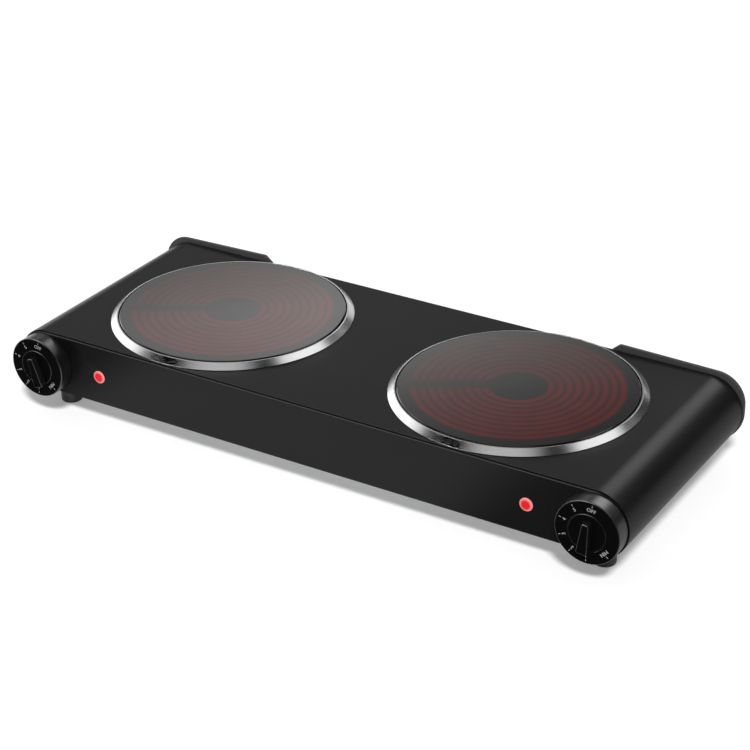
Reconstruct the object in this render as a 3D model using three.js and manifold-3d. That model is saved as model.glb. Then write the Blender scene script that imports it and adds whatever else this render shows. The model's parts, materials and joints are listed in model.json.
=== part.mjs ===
// Double infrared hot plate: two glass-topped burners in a sheet-steel body with two rotary controls.
// Millimetres. X runs along the body, the controls face -Y, and Z is up from the floor.
// The origin is on the floor, under the middle of the whole object.
import * as THREE from "three";
import { mergeVertices } from "three/addons/utils/BufferGeometryUtils.js";
import Module from "manifold-3d";

const wasm = await Module();
wasm.setup();

// ---------------------------------------------------------------- clearances
const GAP = 0.3; // between pieces that seat on each other
const FIT = 0.3; // around a shank, bush or shaft in its hole

// ---------------------------------------------------------------- facets of round pieces
const BURNER_SIDES = 40;
const DIAL_SIDES = 32;
const FOOT_SIDES = 16;
const SMALL_SIDES = 16;
const SCREW_SIDES = 8;
const END_STEPS = 14; // along each rolled end
const CORNER_STEPS = 6; // along each shoulder corner

// ---------------------------------------------------------------- burner
const GLASS_RADIUS = 90;
const GLASS_THICKNESS = 3.8;
const GLASS_EDGE = 0.6; // ground bevel
const SEAL_WIDTH = 0.4;
const SEAL_HEIGHT = 2.6;
const RING_STEEL = 0.8;
const RING_SLOPE = 5.1; // width of the sloping band outside the lip
const RING_HEIGHT = 4.5; // lip above the top cover
const RING_ROUND = 0.25; // rounding of the lip
const RING_LEDGE = 5.5; // width of the ledge under the glass
const RING_SKIRT = 2; // skirt below the cover's upper face
const PAN_STEEL = 0.6;
const PAN_DEPTH = 25; // below the cover's upper face
const INSULATION_RIM = 3.4;
const WELL_DEPTH = 7.3; // heated floor below the cover's upper face
const RIBBON_TURNS = 9;
const RIBBON_WIDTH = 3;
const RIBBON_HEIGHT = 3;
const RIBBON_INNER = 22.5; // radius of the innermost turn
const RIBBON_RIM_SPACE = 3.6; // from the outermost turn's middle to the insulation rim
const RIBBON_STEP = 24; // degrees between corners of a turn
const BREAK_ANGLE = 210; // direction of the break between the turns' ends, degrees from +X
const LIMITER_ROD_RADIUS = 2.2;
const LIMITER_ROD_OVERRUN = 14; // past the burner's centre
const LIMITER_HEAD = { length: 20, width: 16, height: 13 };

// ---------------------------------------------------------------- body
const RING_SPACE = 63.6; // between the two trim rings
const END_SPACE = 14.5; // from a trim ring to the start of the rolled end
const END_RADIUS = 27.1;
const TUCK_ANGLE = 60.8; // how far the rolled end turns under, degrees below level
const RING_OVERHANG = 0.1; // trim ring past the cover's front and rear edges
const COVER_STEEL = 0.9;
const COVER_LIP = 5; // turned in under the base plate
const PANEL_STEEL = 1.2;
const PANEL_REACH = 1.2; // panel face ahead of the cover's edge
const PANEL_FLANGE = 9.2; // depth of the pressed tray
const PANEL_ROUND = 1; // rounding of the face's rim
const SHOULDER_HEIGHT = 5; // above the top cover, at the ramp
const SHOULDER_FALL = 1.7; // from the ramp down to the corner
const SHOULDER_CORNER = 23.4;
const SHOULDER_THICKNESS = 2.6;
const SHOULDER_START = 28.1; // ramp foot, outboard of the burner's centre
const SHOULDER_RAMP = 7.3;
const SHOULDER_OVERHANG = 0.9; // past the cover's rolled end
const SHOULDER_ROUND = 0.6;
const BASE_STEEL = 1;
const BASE_EDGE = 3.3; // from the base plate's end to the cover's tucked edge

// ---------------------------------------------------------------- vents
const REAR_VENT = { count: 7, width: 3.2, height: 20, pitch: 9 };
const BASE_VENT = { count: 6, width: 4, length: 46, pitch: 15, offset: 50 };

// ---------------------------------------------------------------- controls
const DIAL_OUTSET = 1.3; // dial's axis past the axis of the rolled end
const BEZEL_RADIUS = 24.8;
const BEZEL_HEIGHT = 12.5; // ahead of the panel face
const BEZEL_WALL = 2;
const BEZEL_EDGE = 0.8;
const BEZEL_FLOOR = 5.7; // back of the recess floor ahead of the panel face
const BEZEL_BOSS_WALL = 3.3;
const KNOB_RADIUS = 14.4;
const KNOB_THICKNESS = 4.5;
const KNOB_EDGE = 0.4;
const KNOB_HUB_WALL = 1.6;
const KNOB_HUB_LENGTH = 3;
const GRIP_HEIGHT = 5.5; // ahead of the knob's disc
const GRIP_TAIL = 9.4; // behind the shaft
const GRIP_POINT = 15.1; // ahead of the shaft, towards the scale
const GRIP_TAIL_WIDTH = 5.2;
const GRIP_POINT_WIDTH = 8.6;
const GRIP_EDGE = 0.9;
const GRIP_REST = { left: -16, right: 6 }; // turned clockwise, seen from the front, from straight down
const SHAFT_RADIUS = 3;
const SHAFT_IN_KNOB = 6; // engaged length
const SHAFT_IN_REGULATOR = 10;
const BUSH_WALL = 1.7;
const REGULATOR = { width: 34, depth: 22, height: 32 };
const BLADE = { width: 6.3, thickness: 0.8, length: 8, spacing: 14 };
const REGULATOR_SCREW_EDGE = 4; // from a screw's middle to the block's side

// ---------------------------------------------------------------- pilot lamps
const LAMP_INBOARD = 52.9; // from the dial's axis
const LENS_RADIUS = 5.2;
const LENS_EDGE = 0.5; // thickness of the lens's flange
const LENS_DOME = 0.8; // above the flange
const LENS_STEPS = 3;
const LENS_SHANK_RADIUS = 3.9;
const LENS_SHANK_LENGTH = 6;
const HOLDER_WALL = 1.3;
const HOLDER_LENGTH = 17;

// ---------------------------------------------------------------- feet, fasteners, wiring
const FOOT_HEIGHT = 20;
const FOOT_RADIUS = 8.6;
const FOOT_EDGE = 1.5;
const FOOT_RECESS_RADIUS = 4.6;
const FOOT_RECESS_DEPTH = 12;
const FOOT_END_SPACE = 0.6; // from the cover's lip
const FOOT_SIDE_SPACE = 5.2; // from the front panel's flange
const REAR_FOOT_INSET = 5; // of the rear feet towards the middle, past the front ones
const SCREW_RADIUS = 1.5;
const SCREW_HEAD_RADIUS = 3.2;
const SCREW_HEAD_HEIGHT = 2;
const SCREW_HEAD_EDGE = 0.9; // taper of the head
const SCREW_PROUD = 3.5; // thread past the last sheet
const BASE_SCREW_X = 150;
const BRACKET = { width: 18, top: 100, foot: 14, steel: 1 };
const TERMINAL = { poles: 3, width: 34, depth: 18, height: 15, rearSpace: 14 };
const TERMINAL_GROOVE = { width: 3, depth: 6 }; // between poles
const GLAND_BORE_RADIUS = 5.2;
const GLAND_WALL = 1.9;
const GLAND_FLANGE = 2.6; // flange past the neck
const GLAND_FLANGE_THICKNESS = 2.4;
const GLAND_NOSE = 6; // ahead of the flange
const GLAND_NUT_WALL = 3.6;
const GLAND_NUT_THICKNESS = 4;
const LEAD_RADIUS = 1.5;
const LEAD_SIDES = 6;
const LEAD_STEPS = 16;
const LEAD_STRAIGHT = 7; // straight stretch at each end
const LEAD_CLEARANCE = 5; // from the base plate to a lead's middle
const SUPPLY_ROUTE = { rear: 36, middle: 16, inboard: 24, front: 14, lift: 8 }; // bends of a supply lead
const ELEMENT_ROUTE = { front: 38, middle: 34, lift: 6 }; // bends of an element lead

// ---------------------------------------------------------------- sizes that follow
const ringWallInner = GLASS_RADIUS + GAP + SEAL_WIDTH + GAP;
const ringWallOuter = ringWallInner + RING_STEEL;
const ringOuter = ringWallOuter + RING_SLOPE;
const ringSkirtInner = ringWallInner - RING_LEDGE;
const ringSkirtOuter = ringSkirtInner + RING_STEEL;
const ringLedgeTop = GAP + RING_STEEL - FIT / 2;
const glassBottom = ringLedgeTop + GAP;
const panOuter = ringSkirtInner - GAP;
const insulationOuter = panOuter - PAN_STEEL - GAP;
const wellRadius = insulationOuter - INSULATION_RIM;
const ribbonOuter = wellRadius - RIBBON_RIM_SPACE;
const ribbonPitch = (ribbonOuter - RIBBON_INNER) / (RIBBON_TURNS - 1);
const leadOffset = LIMITER_ROD_RADIUS + GAP * 3 + RIBBON_WIDTH / 2; // ribbon tail beside the limiter rod
const turnOffset = leadOffset + RIBBON_WIDTH + GAP * 3 + ribbonPitch / 2; // where the turns end
const notchWidth = 2 * (leadOffset + RIBBON_WIDTH / 2 + GAP * 3);

const burnerX = RING_SPACE / 2 + ringOuter;
const endX = burnerX + ringOuter + END_SPACE;
const dialX = endX + DIAL_OUTSET;
const coverHalfDepth = ringOuter - RING_OVERHANG;
const bodyBottom = FOOT_HEIGHT;
const rollDrop = END_RADIUS * Math.sin(THREE.MathUtils.degToRad(TUCK_ANGLE));
const dialZ = bodyBottom + rollDrop;
const coverTop = dialZ + END_RADIUS;
const trayInset = COVER_STEEL + GAP;
const faceY = -(coverHalfDepth + PANEL_REACH);
const shoulderFrontY = coverHalfDepth + GAP;
const shoulderBackY = shoulderFrontY + SHOULDER_THICKNESS;
const basePlateBottom = bodyBottom + Math.max(COVER_STEEL, PANEL_STEEL) + GAP;
const basePlateTop = basePlateBottom + BASE_STEEL;
const tuckX = endX + END_RADIUS * Math.cos(THREE.MathUtils.degToRad(TUCK_ANGLE));
const lipX = tuckX - COVER_LIP;
const basePlateX = tuckX - BASE_EDGE;
const basePlateY = coverHalfDepth + PANEL_REACH - PANEL_STEEL - GAP;
const flangeEndY = coverHalfDepth + PANEL_REACH - PANEL_FLANGE;
const footX = lipX - FOOT_END_SPACE - FOOT_RADIUS;
const footY = flangeEndY - FOOT_SIDE_SPACE - FOOT_RADIUS;
const lampX = dialX - LAMP_INBOARD;
const screwHole = SCREW_RADIUS + FIT;
const baseScrewY = flangeEndY + (basePlateY - flangeEndY) / 2;
const panBottom = coverTop - PAN_DEPTH;
const bracketScrewX = (BRACKET.top + BRACKET.foot) / 2;
const glandNeck = GLAND_BORE_RADIUS + GLAND_WALL;
const rearStack = shoulderBackY - (coverHalfDepth + PANEL_REACH - PANEL_STEEL);
const terminalY = flangeEndY - TERMINAL.rearSpace - TERMINAL.depth;

// Distances ahead of the front panel's face, along the dial's axis
const recessFloor = BEZEL_FLOOR + BEZEL_WALL;
const knobBack = recessFloor + GAP;
const knobFace = knobBack + KNOB_THICKNESS;
const gripFace = knobFace + GRIP_HEIGHT;
const hubBack = knobBack - KNOB_HUB_LENGTH;
const shaftBore = SHAFT_RADIUS + FIT;
const bushRadius = shaftBore + BUSH_WALL;
const hubRadius = shaftBore + KNOB_HUB_WALL;
const bossBore = hubRadius + FIT;
const shaftFront = hubBack + SHAFT_IN_KNOB;
const boreEnd = shaftFront + FIT;
const bushFront = hubBack - 2 * GAP;
const regulatorFront = -PANEL_STEEL - GAP;
const regulatorScrewSpacing = REGULATOR.width - 2 * REGULATOR_SCREW_EDGE;

// Whole object, front to back
const rearmostY = shoulderBackY + GAP + GLAND_FLANGE_THICKNESS + GLAND_NOSE;
const foremostY = faceY - gripFace;

// ---------------------------------------------------------------- finishes
function finish(color, roughness, metalness) {
  return new THREE.MeshStandardMaterial({ color, roughness, metalness });
}

const BLACK_PAINT = finish(0x1b1b1c, 0.42, 0.25);
const BLACK_PLASTIC = finish(0x0d0d0e, 0.3, 0);
const BRIGHT_STEEL = finish(0xd6d6d6, 0.2, 1);
const PLAIN_STEEL = finish(0x9a9da0, 0.45, 1);
const DARK_GLASS = finish(0x2a2a2c, 0.08, 0);
const SILICONE = finish(0x080808, 0.8, 0);
const MINERAL_WOOL = finish(0xb9b4a8, 0.95, 0);
const HOT_RIBBON = finish(0xa02018, 0.6, 0.4);
const CERAMIC = finish(0xe6e0d2, 0.6, 0);
const RED_LENS = finish(0xe0201c, 0.25, 0);
const RUBBER = finish(0x101010, 0.6, 0);
const BRASS = finish(0xb08d45, 0.35, 1);
const SLEEVE = finish(0xd8d4c8, 0.7, 0);

// ---------------------------------------------------------------- solids
/** A closed three.js geometry as a manifold solid. */
function solid(geometry) {
  const plain = geometry.clone();
  plain.deleteAttribute("normal");
  plain.deleteAttribute("uv");
  const merged = mergeVertices(plain, 1e-3);
  const corners = merged.index.array;
  const kept = [];
  for (let i = 0; i < corners.length; i += 3) {
    const [a, b, c] = corners.slice(i, i + 3);
    if (a !== b && b !== c && c !== a) kept.push(a, b, c);
  }
  return new wasm.Manifold(
    new wasm.Mesh({
      numProp: 3,
      vertProperties: new Float32Array(merged.attributes.position.array),
      triVerts: new Uint32Array(kept),
    }),
  );
}

/** A manifold solid as a three.js geometry with flat facets. */
function geometryOf(body) {
  const mesh = body.getMesh();
  const points = new Float32Array(mesh.numVert * 3);
  for (let i = 0; i < mesh.numVert; i++) {
    points.set(mesh.vertProperties.subarray(i * mesh.numProp, i * mesh.numProp + 3), i * 3);
  }
  const geometry = new THREE.BufferGeometry();
  geometry.setAttribute("position", new THREE.BufferAttribute(points, 3));
  geometry.setIndex(new THREE.BufferAttribute(new Uint32Array(mesh.triVerts), 1));
  const faceted = geometry.toNonIndexed();
  faceted.computeVertexNormals();
  return faceted;
}

const join = (first, ...others) => others.reduce((whole, other) => whole.add(other), first);
const cut = (first, ...tools) => tools.reduce((whole, tool) => whole.subtract(tool), first);

/** A box between its lowest and highest corners. */
function box([x0, y0, z0], [x1, y1, z1]) {
  const geometry = new THREE.BoxGeometry(x1 - x0, y1 - y0, z1 - z0);
  return solid(geometry.translate((x0 + x1) / 2, (y0 + y1) / 2, (z0 + z1) / 2));
}

/** A turned piece about Z. The profile is [radius, height] pairs; one on the axis starts and ends there. */
function turned(profile, sides) {
  const points = profile.map(([radius, height]) => new THREE.Vector2(radius, height));
  if (THREE.ShapeUtils.area(points) < 0) points.reverse();
  if (points.every((point) => point.x > 0)) points.push(points[0].clone());
  return solid(new THREE.LatheGeometry(points, sides).rotateX(Math.PI / 2));
}

/** A turned piece about the dial's axis: heights run forward (-Y) from the front panel's face. */
function turnedForward(profile, sides, x, z) {
  return turned(profile, sides).rotate([90, 0, 0]).translate([x, faceY, z]);
}

const rod = (radius, from, to, sides) => turned([[0, from], [radius, from], [radius, to], [0, to]], sides);
const rodForward = (radius, from, to, sides, x, z) =>
  turnedForward([[0, from], [radius, from], [radius, to], [0, to]], sides, x, z);

/** An outline in X and Z, extruded along Y between two depths, with an optional rounding at its rims. */
function slab(outline, y0, y1, round = 0) {
  const shape = new THREE.Shape(outline);
  const geometry = new THREE.ExtrudeGeometry(shape, {
    depth: y1 - y0 - 2 * round,
    bevelEnabled: round > 0,
    bevelThickness: round,
    bevelSize: round,
    bevelOffset: -round,
    bevelSegments: 2,
  });
  return solid(geometry.rotateX(Math.PI / 2).translate(0, y1 - round, 0));
}

/** An outline in X and Y, extruded upwards between two heights. */
function plate(outline, z0, z1) {
  const shape = new THREE.Shape(outline);
  const geometry = new THREE.ExtrudeGeometry(shape, { depth: z1 - z0, bevelEnabled: false });
  return solid(geometry.translate(0, 0, z0));
}

// ---------------------------------------------------------------- outlines
const at = (x, y) => new THREE.Vector2(x, y);

/** Points of an arc about a centre, between two angles in degrees. */
function arc(centreX, centreZ, radius, from, to, steps) {
  return Array.from({ length: steps + 1 }, (_, i) => {
    const angle = THREE.MathUtils.degToRad(from + ((to - from) * i) / steps);
    return at(centreX + radius * Math.cos(angle), centreZ + radius * Math.sin(angle));
  });
}

/** A right-hand half outline followed by its mirror image. */
const mirrored = (half) => [...half, ...half.map((point) => at(-point.x, point.y)).reverse()];

/** Degrees below level at which a rolled end of this radius meets the height of the body's underside. */
function tuckAngle(radius, floor = bodyBottom) {
  return THREE.MathUtils.radToDeg(Math.asin((dialZ - floor) / radius));
}

/** The body's section, offset inwards from the top cover's outside, above the given floor. */
function bodyOutline(inset, floor = bodyBottom) {
  const radius = END_RADIUS - inset;
  return mirrored(arc(endX, dialZ, radius, -tuckAngle(radius, floor), 90, END_STEPS));
}

/** The rear panel's outline with its raised shoulders. */
function shoulderOutline() {
  const radius = END_RADIUS + SHOULDER_OVERHANG;
  const cornerX = endX + radius - SHOULDER_CORNER;
  const crest = coverTop + SHOULDER_HEIGHT;
  const cornerZ = crest - SHOULDER_FALL - SHOULDER_CORNER;
  const rampFoot = burnerX + SHOULDER_START;
  return mirrored([
    ...arc(endX, dialZ, radius, -tuckAngle(radius), 0, CORNER_STEPS),
    ...arc(cornerX, cornerZ, SHOULDER_CORNER, 0, 90, CORNER_STEPS),
    at(rampFoot + SHOULDER_RAMP, crest),
    at(rampFoot, coverTop - trayInset),
  ]);
}

// ---------------------------------------------------------------- the assembled object
const hotPlate = new THREE.Group();
hotPlate.position.y = -(rearmostY + foremostY) / 2;

/** Adds one named piece. */
function add(name, body, material, parent = hotPlate) {
  const mesh = new THREE.Mesh(geometryOf(body), material.clone());
  mesh.name = name;
  parent.add(mesh);
}

const SIDES = [
  ["left", -1],
  ["right", 1],
];
const FEET = SIDES.flatMap(([side, x]) => [
  ["front_" + side, x, -1, footX],
  ["rear_" + side, x, 1, footX - REAR_FOOT_INSET],
]);

// ---------------------------------------------------------------- body shell
/** Bent sheet: flat top, rolled ends and a lip turned in under the base plate. */
function topCover() {
  const outer = bodyOutline(0);
  const inner = bodyOutline(COVER_STEEL);
  const sheet = slab([...outer, ...inner.reverse()], -coverHalfDepth, coverHalfDepth);
  const lips = SIDES.map(([, x]) => {
    const ends = [x * lipX, x * (tuckX - COVER_STEEL / 2)].sort((a, b) => a - b);
    return box(
      [ends[0], -flangeEndY + GAP, bodyBottom],
      [ends[1], flangeEndY - GAP, bodyBottom + COVER_STEEL],
    );
  });
  const holes = SIDES.map(([, x]) =>
    rod(ringSkirtOuter + GAP, coverTop - 2 * COVER_STEEL, coverTop + COVER_STEEL, BURNER_SIDES).translate([
      x * burnerX,
      0,
      0,
    ]),
  );
  return cut(join(sheet, ...lips), ...holes);
}

/** Pressed tray, open towards the inside of the body. */
function tray(roundedRim) {
  const depth = PANEL_FLANGE;
  const shell = slab(bodyOutline(trayInset), 0, depth + 2 * PANEL_ROUND, roundedRim);
  const hollow = slab(
    bodyOutline(trayInset + PANEL_STEEL, bodyBottom + PANEL_STEEL),
    PANEL_STEEL,
    depth + 3 * PANEL_ROUND,
  );
  const reach = endX + END_RADIUS;
  const rest = box([-reach, depth, 0], [reach, depth + 3 * PANEL_ROUND, coverTop]);
  return cut(shell, hollow, rest);
}

/** Holes for the two base screws in a tray's lower flange. */
const flangeHoles = (y) =>
  SIDES.map(([, x]) =>
    rod(screwHole, 0, basePlateTop + GAP, SCREW_SIDES).translate([x * BASE_SCREW_X, y, 0]),
  );

function frontPanel() {
  const through = [-2 * PANEL_STEEL, PANEL_STEEL];
  const holes = SIDES.flatMap(([, x]) => [
    rodForward(bushRadius + FIT, ...through, SMALL_SIDES, x * dialX, dialZ),
    rodForward(LENS_SHANK_RADIUS + FIT, ...through, SMALL_SIDES, x * lampX, dialZ),
    ...[-1, 1].map((end) =>
      rodForward(screwHole, ...through, SCREW_SIDES, x * dialX + (end * regulatorScrewSpacing) / 2, dialZ),
    ),
  ]);
  return cut(tray(PANEL_ROUND).translate([0, faceY, 0]), ...holes, ...flangeHoles(-baseScrewY));
}

/** Rear closure with raised shoulders, vents and the cord's hole. */
function rearPanel() {
  const face = slab(shoulderOutline(), shoulderFrontY, shoulderBackY, SHOULDER_ROUND);
  const inside = tray(0).rotate([0, 0, 180]).translate([0, coverHalfDepth + PANEL_REACH, 0]);
  const vents = SIDES.flatMap(([, x]) =>
    Array.from({ length: REAR_VENT.count }, (_, i) => {
      const centre = x * burnerX + (i - (REAR_VENT.count - 1) / 2) * REAR_VENT.pitch;
      return box(
        [centre - REAR_VENT.width / 2, flangeEndY, dialZ - REAR_VENT.height / 2],
        [centre + REAR_VENT.width / 2, shoulderBackY + GAP, dialZ + REAR_VENT.height / 2],
      );
    }),
  );
  const neck = rod(glandNeck + FIT, flangeEndY, shoulderBackY + GAP, SMALL_SIDES)
    .rotate([-90, 0, 0])
    .translate([0, 0, dialZ]);
  return cut(join(face, inside), ...vents, neck, ...flangeHoles(baseScrewY));
}

/** Flat plate on the lips and flanges, with vents under both burners. */
function basePlate() {
  const sheet = box([-basePlateX, -basePlateY, basePlateBottom], [basePlateX, basePlateY, basePlateTop]);
  const vents = SIDES.flatMap(([, x]) =>
    [-1, 1].flatMap((row) =>
      Array.from({ length: BASE_VENT.count }, (_, i) => {
        const centre = x * burnerX + (i - (BASE_VENT.count - 1) / 2) * BASE_VENT.pitch;
        return box(
          [centre - BASE_VENT.width / 2, row * BASE_VENT.offset - BASE_VENT.length / 2, 0],
          [centre + BASE_VENT.width / 2, row * BASE_VENT.offset + BASE_VENT.length / 2, coverTop],
        );
      }),
    ),
  );
  const footHoles = FEET.map(([, x, y, out]) =>
    rod(screwHole, 0, coverTop, SCREW_SIDES).translate([x * out, y * footY, 0]),
  );
  const bracketHoles = SIDES.flatMap(([, x]) =>
    [-1, 1].map((end) =>
      rod(screwHole, 0, coverTop, SCREW_SIDES).translate([x * burnerX + end * bracketScrewX, 0, 0]),
    ),
  );
  const edgeHoles = [...flangeHoles(-baseScrewY), ...flangeHoles(baseScrewY)];
  return cut(sheet, ...vents, ...footHoles, ...bracketHoles, ...edgeHoles);
}

// ---------------------------------------------------------------- burner
/** Spun ring: lip, sloping band, ledge under the glass and a short skirt through the cover. */
function trimRing() {
  const slope = Math.atan2(RING_HEIGHT - GAP, RING_SLOPE);
  return turned(
    [
      [ringOuter, GAP],
      [ringWallOuter + RING_ROUND, RING_HEIGHT - RING_ROUND],
      [ringWallOuter, RING_HEIGHT],
      [ringWallInner + RING_ROUND, RING_HEIGHT],
      [ringWallInner, RING_HEIGHT - RING_ROUND],
      [ringWallInner, ringLedgeTop],
      [ringSkirtInner, ringLedgeTop],
      [ringSkirtInner, -RING_SKIRT],
      [ringSkirtOuter, -RING_SKIRT],
      [ringSkirtOuter, GAP],
      [ringWallOuter, GAP],
      [ringWallOuter, RING_HEIGHT - RING_STEEL / Math.cos(slope)],
      [ringOuter - RING_STEEL / Math.sin(slope), GAP],
    ],
    BURNER_SIDES,
  );
}

function glassDisc() {
  const top = glassBottom + GLASS_THICKNESS;
  return turned(
    [
      [0, glassBottom],
      [GLASS_RADIUS, glassBottom],
      [GLASS_RADIUS, top - GLASS_EDGE],
      [GLASS_RADIUS - GLASS_EDGE, top],
      [0, top],
    ],
    BURNER_SIDES,
  );
}

function glassSeal() {
  const inner = GLASS_RADIUS + GAP;
  const outer = inner + SEAL_WIDTH;
  const low = ringLedgeTop + GAP;
  const high = low + SEAL_HEIGHT;
  return turned([[inner, low], [outer, low], [outer, high], [inner, high]], BURNER_SIDES);
}

/** A block across the break in the turns, from one radius to another, along +X. */
const breakBlock = (from, to, low, high) => box([from, -notchWidth / 2, low], [to, notchWidth / 2, high]);

function elementPan() {
  const rim = glassBottom - 2 * GAP;
  const dish = turned(
    [
      [0, -PAN_DEPTH],
      [panOuter, -PAN_DEPTH],
      [panOuter, rim],
      [panOuter - PAN_STEEL, rim],
      [panOuter - PAN_STEEL, PAN_STEEL - PAN_DEPTH],
      [0, PAN_STEEL - PAN_DEPTH],
    ],
    BURNER_SIDES,
  );
  return cut(dish, breakBlock(insulationOuter - 2, panOuter + 2, -WELL_DEPTH - GAP, rim + 2));
}

function insulation() {
  const low = PAN_STEEL - PAN_DEPTH + GAP;
  const rim = glassBottom - GAP;
  const dish = turned(
    [
      [0, low],
      [insulationOuter, low],
      [insulationOuter, rim],
      [wellRadius, rim],
      [wellRadius, -WELL_DEPTH],
      [0, -WELL_DEPTH],
    ],
    BURNER_SIDES,
  );
  return cut(dish, breakBlock(wellRadius - 4, insulationOuter + 2, -WELL_DEPTH, rim + 2));
}

/** The middle line of the ribbon: turns joined end to end, and two tails out through the break. */
function ribbonPath() {
  const tailEnd = panOuter + PAN_STEEL;
  const path = [at(tailEnd, leadOffset), at(wellRadius - RIBBON_WIDTH, leadOffset)];
  for (let turn = 0; turn < RIBBON_TURNS; turn++) {
    const radius = ribbonOuter - turn * ribbonPitch;
    const breakHalf = THREE.MathUtils.radToDeg(Math.asin(turnOffset / radius));
    const steps = Math.ceil((360 - 2 * breakHalf) / RIBBON_STEP);
    const points = arc(0, 0, radius, breakHalf, 360 - breakHalf, steps);
    if (turn % 2 === 1) points.reverse();
    path.push(...points);
    if (turn < RIBBON_TURNS - 1) {
      const side = turn % 2 === 0 ? -1 : 1;
      const bend = side * (turnOffset - ribbonPitch / 2);
      const from = Math.sqrt(radius ** 2 - turnOffset ** 2);
      const to = Math.sqrt((radius - ribbonPitch) ** 2 - turnOffset ** 2);
      path.push(at((from * 3 + to) / 4, bend), at((from + to * 3) / 4, bend));
    }
  }
  const innerEnd = path[path.length - 1].x + ribbonPitch / 2;
  path.push(at(innerEnd, -leadOffset), at(tailEnd, -leadOffset));
  return path;
}

/** Both edges of a strip of the given width along a path. */
function strip(path, width) {
  const edges = [[], []];
  path.forEach((point, i) => {
    const before = path[Math.max(i - 1, 0)];
    const after = path[Math.min(i + 1, path.length - 1)];
    const into = at(point.x - before.x, point.y - before.y);
    const out = at(after.x - point.x, after.y - point.y);
    if (into.lengthSq() === 0) into.copy(out);
    if (out.lengthSq() === 0) out.copy(into);
    into.normalize();
    out.normalize();
    const mean = into.clone().add(out).normalize();
    const reach = width / 2 / Math.max(mean.dot(into), 0.6);
    edges[0].push(at(point.x - mean.y * reach, point.y + mean.x * reach));
    edges[1].push(at(point.x + mean.y * reach, point.y - mean.x * reach));
  });
  return [...edges[0], ...edges[1].reverse()];
}

function heatingRibbon() {
  const low = GAP - WELL_DEPTH;
  return plate(strip(ribbonPath(), RIBBON_WIDTH), low, low + RIBBON_HEIGHT);
}

/** Expansion rod across the turns, with its switch outside the pan. */
function thermalLimiter() {
  const axisHeight = GAP - WELL_DEPTH + LIMITER_ROD_RADIUS;
  const headStart = panOuter + GAP;
  const headTop = -RING_SKIRT - GAP;
  const tube = rod(LIMITER_ROD_RADIUS, -LIMITER_ROD_OVERRUN, headStart + LIMITER_HEAD.length / 2, SCREW_SIDES)
    .rotate([0, 90, 0])
    .translate([0, 0, axisHeight]);
  const head = box(
    [headStart, -LIMITER_HEAD.width / 2, headTop - LIMITER_HEAD.height],
    [headStart + LIMITER_HEAD.length, LIMITER_HEAD.width / 2, headTop],
  );
  const tailRoom = box(
    [headStart - GAP, leadOffset - RIBBON_WIDTH, -WELL_DEPTH],
    [panOuter + PAN_STEEL + GAP, LIMITER_HEAD.width, headTop + GAP],
  );
  return cut(join(head, tube), tailRoom, tailRoom.mirror([0, 1, 0]));
}

/** Strap that bridges the base plate and holds the pan up. */
function elementBracket() {
  const { width, top, foot, steel } = BRACKET;
  const high = panBottom - GAP;
  const low = basePlateTop + GAP;
  const outline = mirrored([
    at(top / 2 + foot, low),
    at(top / 2 + foot, low + steel),
    at(top / 2 + steel, low + steel),
    at(top / 2 + steel, high),
  ]);
  const under = mirrored([at(top / 2, low), at(top / 2, high - steel)]);
  const strap = slab([...outline, ...under.reverse()], -width / 2, width / 2);
  const holes = [-1, 1].map((end) =>
    rod(screwHole, low - steel, low + 2 * steel, SCREW_SIDES).translate([end * bracketScrewX, 0, 0]),
  );
  return cut(strap, ...holes);
}

/** A pan-head screw pointing up, with the underside of its head at height 0. */
function screw(length) {
  return turned(
    [
      [0, -SCREW_HEAD_HEIGHT],
      [SCREW_HEAD_RADIUS - SCREW_HEAD_EDGE, -SCREW_HEAD_HEIGHT],
      [SCREW_HEAD_RADIUS, 0],
      [SCREW_RADIUS, 0],
      [SCREW_RADIUS, length],
      [0, length],
    ],
    SCREW_SIDES,
  );
}

// ---------------------------------------------------------------- controls
function dialBezel(x) {
  const inner = KNOB_RADIUS + FIT;
  const bossOuter = bossBore + BEZEL_BOSS_WALL;
  return turnedForward(
    [
      [BEZEL_RADIUS - BEZEL_WALL, GAP],
      [BEZEL_RADIUS, GAP],
      [BEZEL_RADIUS, BEZEL_HEIGHT - BEZEL_EDGE],
      [BEZEL_RADIUS - BEZEL_EDGE, BEZEL_HEIGHT],
      [inner, BEZEL_HEIGHT],
      [inner, recessFloor],
      [bossBore, recessFloor],
      [bossBore, GAP],
      [bossOuter, GAP],
      [bossOuter, BEZEL_FLOOR],
      [inner + BEZEL_WALL, BEZEL_FLOOR],
      [inner + BEZEL_WALL, BEZEL_HEIGHT - BEZEL_WALL],
      [BEZEL_RADIUS - BEZEL_WALL, BEZEL_HEIGHT - BEZEL_WALL],
    ],
    DIAL_SIDES,
    x * dialX,
    dialZ,
  );
}

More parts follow.
